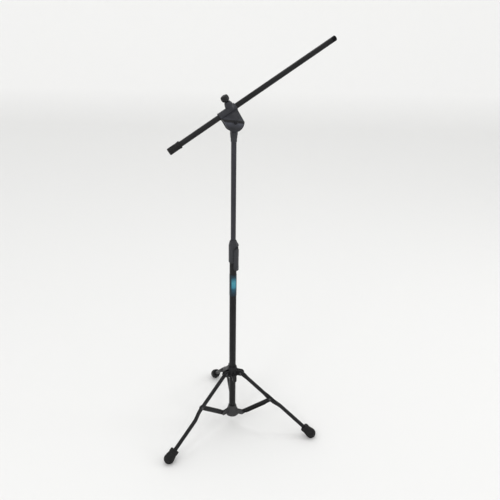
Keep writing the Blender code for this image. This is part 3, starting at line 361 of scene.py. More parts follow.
def coat_paint(name, colour, light, rough, gloss):
    """Paint on steel: faint clouds in the colour, orange peel and a few pale rubs."""
    made, tree, shader = new_material(name, gloss)
    clouds = noise(tree, 14.0, 3.0)
    rubs = noise(tree, 60.0, 8.0, (1, 1, 0.35), 0.7)
    rub_mask = ramp(tree, rubs, [(0.66, (0, 0, 0)), (0.74, (1, 1, 1))])
    base = mixed(tree, spread_value(tree, clouds, 0.0, 1.0), colour, light)
    worn = tuple(min(c * 2.2 + 0.012, 1.0) for c in light)
    tree.links.new(mixed(tree, rub_mask, base, worn), shader.inputs["Base Color"])
    patchy(tree, shader, 35.0, 4.0, rough - 0.06, rough + 0.07)
    bumped(tree, shader, [(noise(tree, 1400.0, 2.0), 0.00006, 0.35),
                          (noise(tree, 260.0, 2.0), 0.00012, 0.15)])
    return made


def plastic(name, colour, light, rough, grain, gloss):
    """Moulded plastic: fine spark-eroded grain, flow clouds and handled patches."""
    made, tree, shader = new_material(name, gloss)
    flow = noise(tree, 40.0, 5.0, (1, 1, 0.6))
    tree.links.new(mixed(tree, spread_value(tree, flow, 0.0, 1.0), colour, light),
                   shader.inputs["Base Color"])
    patchy(tree, shader, 90.0, 3.0, rough - 0.07, rough + 0.08)
    bumped(tree, shader, [(noise(tree, 2600.0, 2.0), 0.00005, grain),
                          (noise(tree, 420.0, 3.0), 0.00008, grain * 0.4)])
    return made


def swivel_plastic_painted_shade(name, colour, light, rough):
    """Moulded plastic with painted light on the swivel: a painted shadow line along the fold across
    the cheeks, over a cup left paler as a painted highlight.
    """
    made = plastic(name, colour, light, rough, 0.35, 0.35)
    tree = made.node_tree
    shader = tree.nodes["Principled BSDF"]
    plain = shader.inputs["Base Color"].links[0].from_socket
    where = tree.nodes.new("ShaderNodeTexCoord")
    wave = tree.nodes.new("ShaderNodeVectorMath")
    wave.operation = "MULTIPLY_ADD"
    wave.inputs[1].default_value = (0.0035, 0.0035, 0.0035)
    tree.links.new(noise(tree, 45.0, 1.0), wave.inputs[0])
    tree.links.new(where.outputs["Object"], wave.inputs[2])
    lean = TILT + FOLD_LEAN
    across = facing(tree, wave.outputs["Vector"], (np.sin(lean), 0.0, -np.cos(lean)))
    start = -PIVOT[2] * np.cos(lean) - FOLD_OFF - 0.0019
    # Painted shade: a dark band along the fold stands for its shadow, the cup band below keeps the
    # full colour as a painted highlight, and the head above and further down is painted darker.
    shade = ramp(tree, ranged(tree, across, start - 0.0100, start + 0.0200), [
        (0.0, (0.36, 0.36, 0.36)), (0.18, (0.55, 0.55, 0.55)), (0.27, (0.0, 0.0, 0.0)),
        (0.42, (0.0, 0.0, 0.0)), (0.52, (1.0, 1.0, 1.0)), (0.62, (0.80, 0.80, 0.80)),
        (1.0, (0.22, 0.22, 0.22))])
    # The painted shade pulls the plastic's own colour towards near black.
    tree.links.new(mixed(tree, shade, (0.004, 0.004, 0.005), plain), shader.inputs["Base Color"])
    return made


def rubber(name, colour, dusty):
    """Rubber: dull, with dust caught in its grain."""
    made, tree, shader = new_material(name, 0.20)
    dust = ramp(tree, noise(tree, 180.0, 9.0, rough=0.7), [(0.52, (0, 0, 0)), (0.72, (1, 1, 1))])
    tree.links.new(mixed(tree, dust, colour, dusty), shader.inputs["Base Color"])
    patchy(tree, shader, 120.0, 4.0, 0.58, 0.78)
    bumped(tree, shader, [(noise(tree, 1500.0, 3.0), 0.00010, 0.5)])
    return made


def steel(name, colour, dark, rough, stretch=(1, 1, 1)):
    """Plated steel: drawn grain and cloudy plating."""
    made, tree, shader = new_material(name)
    shader.inputs["Metallic"].default_value = 1.0
    clouds = noise(tree, 320.0, 6.0, stretch)
    tree.links.new(mixed(tree, spread_value(tree, clouds, 0.0, 1.0), dark, colour),
                   shader.inputs["Base Color"])
    patchy(tree, shader, 700.0, 4.0, rough - 0.08, rough + 0.1, stretch)
    bumped(tree, shader, [(noise(tree, 2200.0, 2.0, stretch), 0.00004, 0.3)])
    return made


def band_film(name):
    """Plain film: blue where it faces forward, paler in the middle of its height, dark behind."""
    made, tree, shader = new_material(name, 0.22)
    where = tree.nodes.new("ShaderNodeTexCoord")
    split = tree.nodes.new("ShaderNodeSeparateXYZ")
    low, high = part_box("label_band")[0].z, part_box("label_band")[1].z
    tree.links.new(where.outputs["Object"], split.inputs["Vector"])
    height = ramp(tree, ranged(tree, split.outputs["Z"], low, high), [
        (0.0, (0.010, 0.014, 0.018)), (0.12, (0.010, 0.024, 0.036)), (0.32, (0.016, 0.070, 0.110)),
        (0.44, (0.050, 0.250, 0.340)), (0.62, (0.068, 0.310, 0.390)),
        (0.76, (0.045, 0.190, 0.250)), (0.88, (0.014, 0.045, 0.065)),
        (1.0, (0.010, 0.014, 0.018))])
    front = facing(tree, where.outputs["Object"], LABEL_FRONT)
    base = mixed(tree, ranged(tree, front, LOWER_R * 0.66, LOWER_R * 0.97),
                 (0.009, 0.016, 0.020), height)
    tree.links.new(mixed(tree, spread_value(tree, noise(tree, 90.0, 5.0), 0.0, 0.25),
                         base, (0.015, 0.06, 0.09)), shader.inputs["Base Color"])
    patchy(tree, shader, 60.0, 3.0, 0.25, 0.38)
    bumped(tree, shader, [(noise(tree, 500.0, 2.0), 0.00005, 0.2)])
    return made


LEG_PAINT = coat_paint("leg_paint", (0.0075, 0.0075, 0.0080), (0.013, 0.013, 0.014), 0.42, 0.16)
COLUMN_PAINT = coat_paint("column_paint", (0.0080, 0.0080, 0.0085), (0.014, 0.014, 0.015),
                          0.38, 0.16)
UPPER_PAINT = coat_paint("upper_paint", (0.021, 0.021, 0.026), (0.030, 0.030, 0.037), 0.32, 0.25)
GREY_PLASTIC = plastic("grey_plastic", (0.014, 0.0145, 0.018), (0.024, 0.025, 0.030), 0.34,
                       0.35, 0.35)
BELL_PLASTIC = plastic("bell_plastic", (0.030, 0.030, 0.031), (0.045, 0.045, 0.046), 0.42,
                       0.35, 0.25)
# The swivel head's plastic, with painted shade and a painted highlight across its cheeks.
SWIVEL_PLASTIC_PAINTED_SHADE = swivel_plastic_painted_shade("swivel_plastic_painted_shade", (0.032, 0.033, 0.044), (0.058, 0.061, 0.078),
                                0.34)
BLACK_PLASTIC = plastic("black_plastic", (0.0070, 0.0070, 0.0080), (0.013, 0.013, 0.014), 0.42,
                        0.40, 0.20)
RUBBER = rubber("foot_rubber", (0.0080, 0.0080, 0.0080), (0.022, 0.021, 0.020))
ZINC = steel("zinc", (0.115, 0.115, 0.120), (0.060, 0.060, 0.064), 0.38)
DARK_STEEL = steel("dark_steel", (0.040, 0.040, 0.044), (0.016, 0.016, 0.018), 0.40)
NYLON = plastic("nylon", (0.42, 0.41, 0.38), (0.52, 0.51, 0.47), 0.45, 0.2, 0.3)
INNER_NYLON = plastic("inner_nylon", (0.010, 0.010, 0.011), (0.018, 0.018, 0.019), 0.5, 0.2, 0.2)
BAND = band_film("blue_band")


# ---- column ----
def make_column():
    piece("lower_column", tube(LOWER_R - LOWER_WALL, LOWER_R, LOWER_LOW, LOWER_TOP, 0.0003),
          COLUMN_PAINT, "base", ["lower_tube"])
    piece("upper_column_tube", tube(UPPER_R - UPPER_WALL, UPPER_R, UPPER_LOW, UPPER_TOP, 0.0003),
          UPPER_PAINT, "upper_column", ["upper_tube"])
    low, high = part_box("label_band")
    piece("blue_band", tube(LOWER_R + 0.0001, LOWER_R + 0.0006, low.z, high.z, 0.0001),
          BAND, "base", ["label_band"])
    plug = rounded([(0, LOWER_LOW - 0.0024), (0.0052, LOWER_LOW - 0.0024),
                    (0.0060, LOWER_LOW - 0.0030), (LOWER_R, LOWER_LOW - 0.0030),
                    (LOWER_R, LOWER_LOW - GAP), (LOWER_R - 0.0016, LOWER_LOW - GAP),
                    (LOWER_R - 0.0016, LOWER_LOW + 0.0120), (0, LOWER_LOW + 0.0120)], 0.0005)
    piece("end_plug", turned(plug), BLACK_PLASTIC, "base", ["column_end_plug"])


# ---- tripod ----
def lug_pairs(faces, *shape):
    """A pair of lugs of one shape at each leg's station."""
    return [placed(lug(*shape, near, far), about_column(station))
            for station in STATIONS for near, far in faces]


def make_spreader_hub():
    """A bell: lip, waist and collar in one turned wall, with a lug pair for each arm."""
    bore, low = LOWER_R + GAP, LOWER_LOW - 0.0050
    wall = rounded([(bore, low), (0.0212, low), (0.0235, low + 0.0026), (0.0235, low + 0.0096),
                    (0.0200, low + 0.0168), (bore + 0.0054, low + 0.0242),
                    (bore + 0.0032, low + 0.0320), (bore + 0.0022, low + 0.0370),
                    (bore, low + 0.0370)], 0.0022, True)
    shells = [turned(wall, 144, closed=True),
              *lug_pairs(SPREADER_FACES, ARM_PIVOT[0], ARM_PIVOT[2], 0.0084, bore + 0.0030)]
    hub = piece("spreader_bell", together(*shells), BELL_PLASTIC, "base",
                ["spreader_hub"])
    moulded(hub, 0.00055, 2)


def rivet(low, high, both_heads):
    """A rivet along y: a domed head at low, and one or a flush end at high."""
    dome = np.linspace(0.0, np.pi / 2, 9)
    head_r, head, stem = 0.0042, 0.0015, 0.0022
    first = np.stack([head_r * np.sin(dome), low - head * np.cos(dome)], -1)
    rows = [first, [(head_r, low), (stem, low), (stem, high)]]
    if both_heads:
        rows += [[(head_r, high)],
                 np.stack([head_r * np.cos(dome), high + head * np.sin(dome)], -1)]
    else:
        rows += [[(0.0, high)]]
    return turned(np.concatenate([np.asarray(r, float) for r in rows]), 40, "Y")


def arm_shell():
    """A pressed channel: a thin section carried along x, its flanges rising and falling.

    The section runs down one flange, over the web and up the other, then back inside it.
    Its half width follows a round end at both pivots, and the flange's depth eases in
    past the first pivot and out before the second.
    """
    share = np.linspace(-1.0, 1.0, 120)
    along = ARM_LENGTH / 2 + (ARM_LENGTH / 2 + ARM_WIDE) * np.sin(share * np.pi / 2)
    past = np.maximum(np.maximum(-along, along - ARM_LENGTH), 0.0)
    wide = np.sqrt(np.maximum(ARM_WIDE ** 2 - past ** 2, 1e-9))
    flange = ARM_FLANGE * smooth_step(along, 0.0125, 0.0210)
    flange *= 1.0 - smooth_step(along, ARM_LENGTH - 0.0260, ARM_LENGTH - 0.0168)
    flange += 0.00002
    bend = np.minimum(0.0022, 0.45 * wide)
    inner_bend = np.minimum(0.0007, 0.2 * wide)
    t = np.minimum(ARM_THICK, 0.7 * wide)
    quarter = np.linspace(0.0, np.pi / 2, 7)[None, :]
    w, f, b, ib, th = (v[:, None] for v in (wide, flange, bend, inner_bend, t))
    tip = ARM_FACE - ARM_THICK - f
    outer_w = w - b + b * np.cos(quarter[:, ::-1])
    outer_y = ARM_FACE - b + b * np.sin(quarter[:, ::-1])
    half_w = np.concatenate([outer_w, w], 1)
    half_y = np.concatenate([outer_y, tip], 1)
    in_w = w - th - ib + ib * np.cos(quarter)
    in_y = ARM_FACE - ARM_THICK - ib + ib * np.sin(quarter)
    in_w = np.concatenate([w - th, in_w], 1)
    in_y = np.concatenate([tip, np.maximum(in_y, tip)], 1)
    z_side = np.concatenate([half_w, in_w], 1)
    y_side = np.concatenate([half_y, in_y], 1)
    z = np.concatenate([z_side, -z_side[:, ::-1]], 1)
    y = np.concatenate([y_side, y_side[:, ::-1]], 1)
    points = np.stack([along[:, None] + 0.0 * z, y, z], -1)
    return closed_ends(surface(points), z.shape[1])


def closed_ends(shell, cols):
    """Close the first and last row of a lofted shell with a fan to their middles."""
    points, faces = shell
    count = len(points)
    first, last = points[:cols].mean(0), points[-cols:].mean(0)
    ring = np.arange(cols)
    turn = np.roll(ring, -1)
    low = np.stack([ring, turn, np.full(cols, count), np.full(cols, count)], -1)
    high = np.stack([ring, turn, np.full(cols, count + 1), np.full(cols, count + 1)], -1)
    high[:, :2] += count - cols
    return np.concatenate([points, [first, last]]), np.concatenate([faces, low, high])


def leg_shell():
    """A leg: a squashed tube whose width, thickness and sideways place follow its length.

    Pressed flat at the eye and at the brace, round between, and stepping aside in a
    smooth bend below the brace. The section is a superellipse, squarer where flatter.
    """
    distance = np.concatenate([
        -EYE_WIDE * np.cos(np.linspace(0.0, np.pi / 2, 14))[:-1] * 0.999,
        np.linspace(0.0, 0.034, 30)[:-1], np.linspace(0.034, BRACE - 0.030, 12)[:-1],
        np.linspace(BRACE - 0.030, BRACE + 0.056, 70)[:-1],
        np.linspace(BRACE + 0.056, LEG_LENGTH - 0.0060, 24)])
    eye = 1.0 - smooth_step(distance, 0.0120, 0.0290)
    before, after = BRACE - EYE_WIDE, BRACE + EYE_WIDE
    pressed = smooth_step(distance, before - 0.0190, before - 0.0040)
    pressed *= 1.0 - smooth_step(distance, after + 0.0040, after + 0.0400)
    flat = np.maximum(eye, pressed)
    side = LEG_SIDE + LEG_JOG * smooth_step(distance, after, after + 0.0420)
    wide = LEG_R + (EYE_WIDE - LEG_R) * flat
    wide = np.where(distance < 0, np.sqrt(np.maximum(EYE_WIDE ** 2 - distance ** 2, 1e-10)), wide)
    thick = LEG_R + (EYE_THICK - LEG_R) * flat
    power = 2.0 / (2.0 + 1.6 * flat)
    turn = around(48)
    c, s = np.cos(turn), np.sin(turn)
    across = wide[:, None] * np.sign(c) * np.abs(c) ** power[:, None]
    through = thick[:, None] * np.sign(s) * np.abs(s) ** power[:, None]
    x = LEG_PIVOT_R + distance[:, None] * np.sin(LEG_ANGLE) + across * np.cos(LEG_ANGLE)
    z = LEG_PIVOT_Z - distance[:, None] * np.cos(LEG_ANGLE) + across * np.sin(LEG_ANGLE)
    points = np.stack([x, side[:, None] + through, z], -1)
    return closed_ends(surface(points), 48)


def foot_shell():
    """A rubber foot: a ball, a waist and a ribbed collar, worn flat where it stands."""
    ball, back, bore = 0.0170, 0.0330, LEG_R + GAP
    turn = np.linspace(-np.pi / 2, 0.10, 26)
    cap = np.stack([ball * np.cos(turn), ball * np.sin(turn)], -1)
    cap[0, 0] = 0.0
    body = rounded([(0.0166, 0.0050), (0.0148, 0.0150), (0.0138, back - 0.0128),
                    (0.0149, back - 0.0105), (0.0149, back - 0.0080), (0.0141, back - 0.0074),
                    (0.0141, back - 0.0066), (0.0149, back - 0.0060), (0.0149, back - 0.0030),
                    (0.0134, back), (bore + 0.0008, back), (bore, back - 0.0010),
                    (bore, 0.0060), (0.0, 0.0060)], 0.0014)
    points, faces = turned(np.concatenate([cap, body]), 96)
    turn_y = np.array([[np.cos(LEG_ANGLE), 0.0, np.sin(LEG_ANGLE)], [0.0, 1.0, 0.0],
                       [-np.sin(LEG_ANGLE), 0.0, np.cos(LEG_ANGLE)]])
    points = points @ turn_y
    points += [LEG_PIVOT_R + LEG_LENGTH * np.sin(LEG_ANGLE), LEG_SIDE + LEG_JOG, BALL_Z]
    points[:, 2] = np.maximum(points[:, 2], 0.0)
    return points, faces


def make_legs():
    arm_turn = np.arctan2(BRACE_PIVOT[0] - ARM_PIVOT[0], BRACE_PIVOT[2] - ARM_PIVOT[2])
    arm_axes = np.array([[np.sin(arm_turn), 0.0, np.cos(arm_turn)], [0.0, 1.0, 0.0],
                         [-np.cos(arm_turn), 0.0, np.sin(arm_turn)]])
    pressed = placed(arm_shell(), arm_axes, ARM_PIVOT)
    inner = rivet(SPREADER_FACES[1][0] - GAP, SPREADER_FACES[0][1], False)
    outer = rivet(ARM_BACK - GAP, LEG_SIDE + EYE_THICK + GAP, True)
    leg, foot = leg_shell(), foot_shell()
    for number, station in enumerate(STATIONS, start=1):
        turn = about_column(station)
        limb = f"leg_assembly_{number}"
        piece(f"leg_{number}_tube", placed(leg, turn), LEG_PAINT, limb,
              [f"leg_{number}"])
        piece(f"foot_{number}_rubber", placed(foot, turn), RUBBER, limb,
              [f"foot_{number}"])
        piece(f"arm_{number}_channel", placed(pressed, turn), LEG_PAINT, f"arm_{number}",
              [f"spreader_arm_{number}"])
        piece(f"arm_{number}_inner_rivet", placed(placed(inner, UPRIGHT, ARM_PIVOT), turn),
              ZINC, "base", [f"arm_rivet_{number}"])
        piece(f"arm_{number}_outer_rivet", placed(placed(outer, UPRIGHT, BRACE_PIVOT), turn),
              ZINC, limb, [f"brace_rivet_{number}"])


def make_leg_hub():
    """The sliding collar: a turned wall with a lug pair for each leg and a clamp boss."""
    bore = LOWER_R + 0.0009
    low, high = LEG_PIVOT_Z - 0.0200, LEG_PIVOT_Z + 0.0200
    wall = rounded([(bore, low), (0.0150, low), (0.0165, low + 0.0020), (0.0165, low + 0.0080),
                    (0.0158, low + 0.0092), (0.0165, low + 0.0104), (0.0165, high - 0.0100),
                    (0.0152, high - 0.0050), (0.0138, high), (bore, high)], 0.0012, True)
    shells = [turned(wall, 144, closed=True),
              *lug_pairs(sorted(HUB_FACES), LEG_PIVOT_R, LEG_PIVOT_Z, 0.0100, bore + 0.0025)]
    boss = rounded([(0.0026, bore + 0.0014), (0.0080, bore + 0.0014), (0.0075, bore + 0.0060),
                    (0.0075, 0.0235), (0.0026, 0.0235)], 0.0010, True)
    shells.append(placed(turned(boss, 64, "X", closed=True), about_column(KNOB_TURN),
                         (0.0, 0.0, KNOB_Z)))
    hub = piece("sliding_collar", together(*shells), BLACK_PLASTIC, "sliding_hub",
                ["leg_hub"])
    moulded(hub, 0.00060, 2)


def six_sided(turn, height):
    """Radius factor of a hexagon whose corners are at 1, eased at the corners."""
    off = np.mod(turn, TAU / 6) - TAU / 12
    return np.minimum(np.cos(TAU / 12) / np.cos(off), 0.975) + 0.0 * height


def make_hub_fasteners():
    """Round-headed bolts with a round recess and six-sided nuts, at the leg tops."""
    outer, inner = HUB_FACES
    head = outer[1] + GAP
    nut_high = inner[0] - GAP
    dome = rounded([(0.0, head + 0.0010), (0.0019, head + 0.0010), (0.0019, head + 0.0025),
                    (0.0030, head + 0.0026), (0.0046, head + 0.0015), (0.0046, head),
                    (0.0025, head), (0.0025, nut_high - 0.0036), (0.0019, nut_high - 0.0042),
                    (0.0, nut_high - 0.0042)], 0.0004)
    bolt = turned(dome, 48, "Y")
    nut_low = nut_high - 0.0026
    ring = rounded([(0.0026, nut_low), (0.0040, nut_low), (0.0046, nut_low + 0.0005),
                    (0.0046, nut_high - 0.0003), (0.0043, nut_high), (0.0026, nut_high)],
                   0.0003, True)
    nut = turned(ring, 96, "Y", closed=True, swell=six_sided)
    place = np.array([LEG_PIVOT_R, 0.0, LEG_PIVOT_Z])
    for number, station in enumerate(STATIONS, start=1):
        turn = about_column(station)
        piece(f"leg_{number}_bolt", placed(placed(bolt, UPRIGHT, place), turn), ZINC,
              "sliding_hub", [f"leg_bolt_{number}"])
        piece(f"leg_{number}_nut", placed(placed(nut, UPRIGHT, place), turn), ZINC,
              "sliding_hub", [f"leg_nut_{number}"])


def make_wing_knob():
    """A wing knob: a stadium outline flared from a round neck, its rim domed and fluted."""
    depth, start = 0.0150, 0.0238
    share = rounded([(0.0, 0.0), (0.46, 0.0), (0.50, 0.16), (0.92, 0.30), (1.0, 0.52),
                     (0.97, 0.84), (0.80, 0.97), (0.40, 1.0), (0.16, 0.97), (0.0, 0.97)],
                    0.09, steps=7)
    turn = around(160)
    half = 0.00675
    tall = 0.0135 - half
    c, s = np.cos(turn), np.sin(turn)
    # Distance from the middle to a stadium's edge: to its straight side, or to its round end.
    to_side = half / np.maximum(np.abs(c), 1e-9)
    under = np.maximum(half ** 2 - (tall * c) ** 2, 0.0)
    to_end = tall * np.abs(s) + np.sqrt(under)
    edge = np.where(to_side * np.abs(s) <= tall, to_side, to_end)
    flute = 1.0 - 0.035 * (0.5 + 0.5 * np.cos(26 * turn)) * np.abs(s) ** 4
    oval = smooth_step(share[:, 1:], 0.12, 0.42)
    reach = share[:, :1] * ((1 - oval) * 0.0125 + oval * edge * flute)
    points = np.stack([start + depth * share[:, 1:] + 0.0 * reach, reach * c, reach * s], -1)
    knob = placed(surface(points), about_column(KNOB_TURN), (0.0, 0.0, KNOB_Z))
    piece("wing_knob", knob, BLACK_PLASTIC, "hub_clamp", ["hub_knob"])


# ---- height clutch ----
def sector(ring, start, end, steps, oval=(1.0, 1.0)):
    """A closed (radius, z) ring swept from one angle to another, its ends closed.

    oval scales x and y after the sweep, so a round wall becomes an oval one.
    """
    turn = np.linspace(start, end, steps)[:, None]
    r, z = ring[:, 0][None, :], ring[:, 1][None, :]
    points = np.stack([r * np.cos(turn) * oval[0], r * np.sin(turn) * oval[1],
                       z + 0.0 * turn], -1)
    return closed_ends(surface(points), len(ring))


def box_shell(low, high, edge):
    """A box between two corners, its rims along y eased."""
    (x0, y0, z0), (x1, y1, z1) = low, high
    side = np.linspace(0.0, 1.0, 8)[:-1, None]
    corners = np.array([[x0, z0], [x1, z0], [x1, z1], [x0, z1]])
    outline = np.concatenate([a + side * (b - a) for a, b in zip(corners, np.roll(corners, -1, 0))])
    return plate(outline, y0, y1, edge)


def make_clutch_body():
    """Sleeve, fixed half shell, oval shoulder and the lever's web, fused in one skin."""
    bore, neck = LOWER_R + GAP, UPPER_R + GAP
    wall = rounded([(bore, CLUTCH_LOW), (0.0126, CLUTCH_LOW), (0.0126, CLUTCH_SHOULDER),
                    (0.0106, CLUTCH_TOP - 0.0012), (0.0099, CLUTCH_TOP), (neck, CLUTCH_TOP),
                    (neck, LOWER_TOP + GAP), (bore, LOWER_TOP + GAP)], 0.0006, True)
    shell = rounded([(0.0119, CLUTCH_LOW + 0.0005), (0.0137, CLUTCH_LOW + 0.0005),
                     (0.0143, CLUTCH_LOW + 0.0035), (0.0143, CLUTCH_SHOULDER - 0.0090),
                     (0.0126, CLUTCH_SHOULDER - 0.0010), (0.0119, CLUTCH_SHOULDER - 0.0010)],
                    0.0012, True)
    cap = rounded([(0.0118, OVAL_LOW), (0.0160, OVAL_LOW), (0.0160, OVAL_EDGE),
                   (0.0130, OVAL_TOP), (0.0118, OVAL_TOP)], 0.0014, True)
    shells = [turned(wall, 128, closed=True),
              sector(shell, np.pi / 2 + 0.02, 1.5 * np.pi - 0.02, 96),
              sector(cap, -np.pi / 2, np.pi / 2, 96, (0.0175 / 0.0160, 0.0146 / 0.0160)),
              box_shell((0.0118, -0.0056, WEB_LOW), (0.0149, 0.0056, WEB_HIGH), 0.0004)]
    body = piece("clutch_sleeve", placed(together(*shells), about_column(CLUTCH_TURN)),
                 GREY_PLASTIC, "base", ["clutch_body"])
    moulded(body, 0.00045, 2)


def lever_shell():
    """The clutch's lever: half an oval tube with a thumb panel, lower towards its toe.

    At each angle the section runs up the oval outside, over the top edge and down the
    round inside. The toe's edge rises towards the split, the top edge dips over the web.
    """
    angle = np.radians(np.linspace(-85.0, 85.0, 150))[:, None]
    c, s = np.cos(angle), np.sin(angle)
    oval = 1.0 / np.sqrt((c / LEVER_WIDE) ** 2 + (s / LEVER_DEEP) ** 2)
    foot = LEVER_LOW + 0.012 * (1.0 - np.clip(LEVER_WIDE * c / 0.0090, 0.0, 1.0))
    top = PIN_Z - 0.0004 - 0.0045 * (1.0 - smooth_step(np.abs(oval * s), 0.0061, 0.0068))
    top = top - 0.0085 * (1.0 - smooth_step(oval * c, 0.0020, 0.0052))
    share = np.linspace(0.0, 1.0, 150)[None, :]
    height = foot + share * (top - foot)
    panel = (smooth_step(height, PANEL_LOW, PANEL_LOW + 0.0015)
             * (1.0 - smooth_step(height, PANEL_HIGH - 0.0015, PANEL_HIGH)))
    grip = 0.5 + 0.5 * np.cos((height - PANEL_LOW) / GRIP_PITCH * TAU)
    line = (np.exp(-((height - PANEL_HIGH - 0.0005) / 0.0005) ** 2)
            + np.exp(-((height - PANEL_LOW + 0.0005) / 0.0005) ** 2))
    skin = oval - 0.00030 * panel - 0.00028 * panel * grip - 0.00040 * line
    toe = np.clip(1.0 - (height - foot) / 0.0030, 0.0, 1.0)
    brow = np.clip(1.0 - (top - height) / 0.0010, 0.0, 1.0)
    skin = skin - 0.0022 * (1.0 - np.sqrt(1.0 - 0.999 * toe ** 2))
    skin = skin - 0.0008 * (1.0 - np.sqrt(1.0 - 0.999 * brow ** 2))
    skin = np.maximum(skin, LEVER_INSIDE + 0.0004)
    down = np.linspace(1.0, 0.0, 30)[None, :]
    back = foot + down * (top - foot)
    r = np.concatenate([skin, LEVER_INSIDE + 0.0 * back], 1)
    z = np.concatenate([height, back], 1)
    points = np.stack([r * c, r * s, z], -1)
    return closed_ends(surface(points), r.shape[1])


def lever_ear(side):
    """A fork end of the lever: slices in plan between the fork's face and the oval,
    cut back by a circle about the pin."""
    z = np.linspace(PIN_Z - 0.0040, PIN_Z + 0.0052, 30)[:, None]
    y = np.linspace(0.0061, 0.0100, 16)[None, :]
    oval_x = 0.0178 * np.sqrt(1.0 - (y / LEVER_DEEP) ** 2)
    round_x = PIN_X + np.sqrt(np.maximum(0.0067 ** 2 - np.maximum(z - PIN_Z, 0.0) ** 2, 0.0))
    out = np.maximum(np.minimum(oval_x, round_x), 0.01315)
    lean = 0.0131 + 0.0021 * np.clip((z - PIN_Z) / 0.0052, 0.0, 1.0)
    back = np.minimum(lean + 0.0 * out, out - 0.00005)
    x = np.concatenate([out, back[:, ::-1]], 1)
    yy = np.concatenate([y, y[:, ::-1]], 1) + 0.0 * x
    points = np.stack([x, side * yy, z + 0.0 * x], -1)
    return closed_ends(surface(points), x.shape[1])


def make_lever():
    shells = together(lever_shell(), lever_ear(1), lever_ear(-1))
    piece("clutch_lever_shell", placed(shells, about_column(CLUTCH_TURN)), GREY_PLASTIC,
          "clutch_lever_body", ["clutch_lever"])


# ---- swivel ----
def make_swivel_base():
    """The socket on the tube and the tongue that the head tilts on, fused in one skin."""
    low, top, bore = UPPER_TOP - 0.0270, PIVOT[2] - CHEEK_R - 2 * GAP, UPPER_R + GAP
    socket = rounded([(0.0, UPPER_TOP + GAP), (bore, UPPER_TOP + GAP), (bore, low), (0.0091, low),
                      (0.0093, low + 0.0012), (0.0095, low + 0.0100), (0.0101, low + 0.0122),
                      (0.0109, top - 0.0080), (0.0110, top - 0.0012), (0.0102, top), (0.0, top)],
                     0.0009)
    tongue = rounded([(0.0, -0.0066), (0.0195, -0.0066), (0.0195, 0.0066), (0.0, 0.0066)], 0.0008)
    shells = [turned(socket, 128), placed(turned(tongue, 128, "Y"), UPRIGHT, PIVOT),
              box_shell((-0.0100, -0.0064, 1.0220), (0.0100, 0.0064, 1.0560), 0.0006)]
    base = piece("swivel_socket", together(*shells), GREY_PLASTIC, "upper_column",
                 ["swivel_base"])
    moulded(base, 0.00055, 3)


def crown_shell():
    """The bridge between the cheeks: flat below, its top following the cheeks' tops and
    the underside of the boom's sleeve."""
    y = np.linspace(-0.0090, 0.0090, 25)[:, None]
    floor = 0.0207
    x = np.linspace(CHEEK_TIP_SIDE - 0.0003, 0.0003 - CHEEK_TAIL_SIDE, 60)[None, :]
    under = BOOM_UP - np.sqrt(0.0103 ** 2 - y ** 2)
    top = np.minimum(CHEEK_TOP, under) + 0.0 * x
    base_x = np.linspace(0.0003 - CHEEK_TAIL_SIDE, CHEEK_TIP_SIDE - 0.0003, 20)[None, :]
    xx = np.concatenate([x + 0.0 * top, base_x + 0.0 * y], 1)
    zz = np.concatenate([np.maximum(top, floor + 0.0001), floor + 0.0 * base_x + 0.0 * y], 1)
    return closed_ends(surface(np.stack([xx, y + 0.0 * xx, zz], -1)), xx.shape[1])


def neck_shell():
    """The clamp's neck: a round post whose foot is cut to the sleeve it stands on."""
    side = rounded([(0.0033, 0.0), (0.0125, 0.0), (0.0124, 0.35), (0.0104, 0.70),
                    (0.0088, 0.93), (0.0086, 1.0), (0.0033, 1.0)], 0.10, True)
    side[:, 0] = np.clip(side[:, 0], 0.0033, 0.0125)
    turn = around(96)
    r, share = side[:, :1], side[:, 1:]
    y = r * np.sin(turn)
    foot = BOOM_UP + np.sqrt(np.maximum(0.0103 ** 2 - y ** 2, 1e-9))
    z = foot + share * (NECK_TOP - foot)
    points = np.stack([CLAMP_X + r * np.cos(turn), y, z], -1)
    return surface(points, wrap_rows=True)


def cheek_edge(turn, inset=0.0):
    """Distance from the pivot to a cheek's outline: round below, straight sides, flat top."""
    c, s = np.cos(turn), np.sin(turn)
    side = np.where(c < 0, CHEEK_TAIL_SIDE, CHEEK_TIP_SIDE) / np.maximum(np.abs(c), 1e-9)
    top = np.where(s > 0, CHEEK_TOP / np.maximum(s, 1e-9), CHEEK_R)
    return np.minimum(side, top) - inset


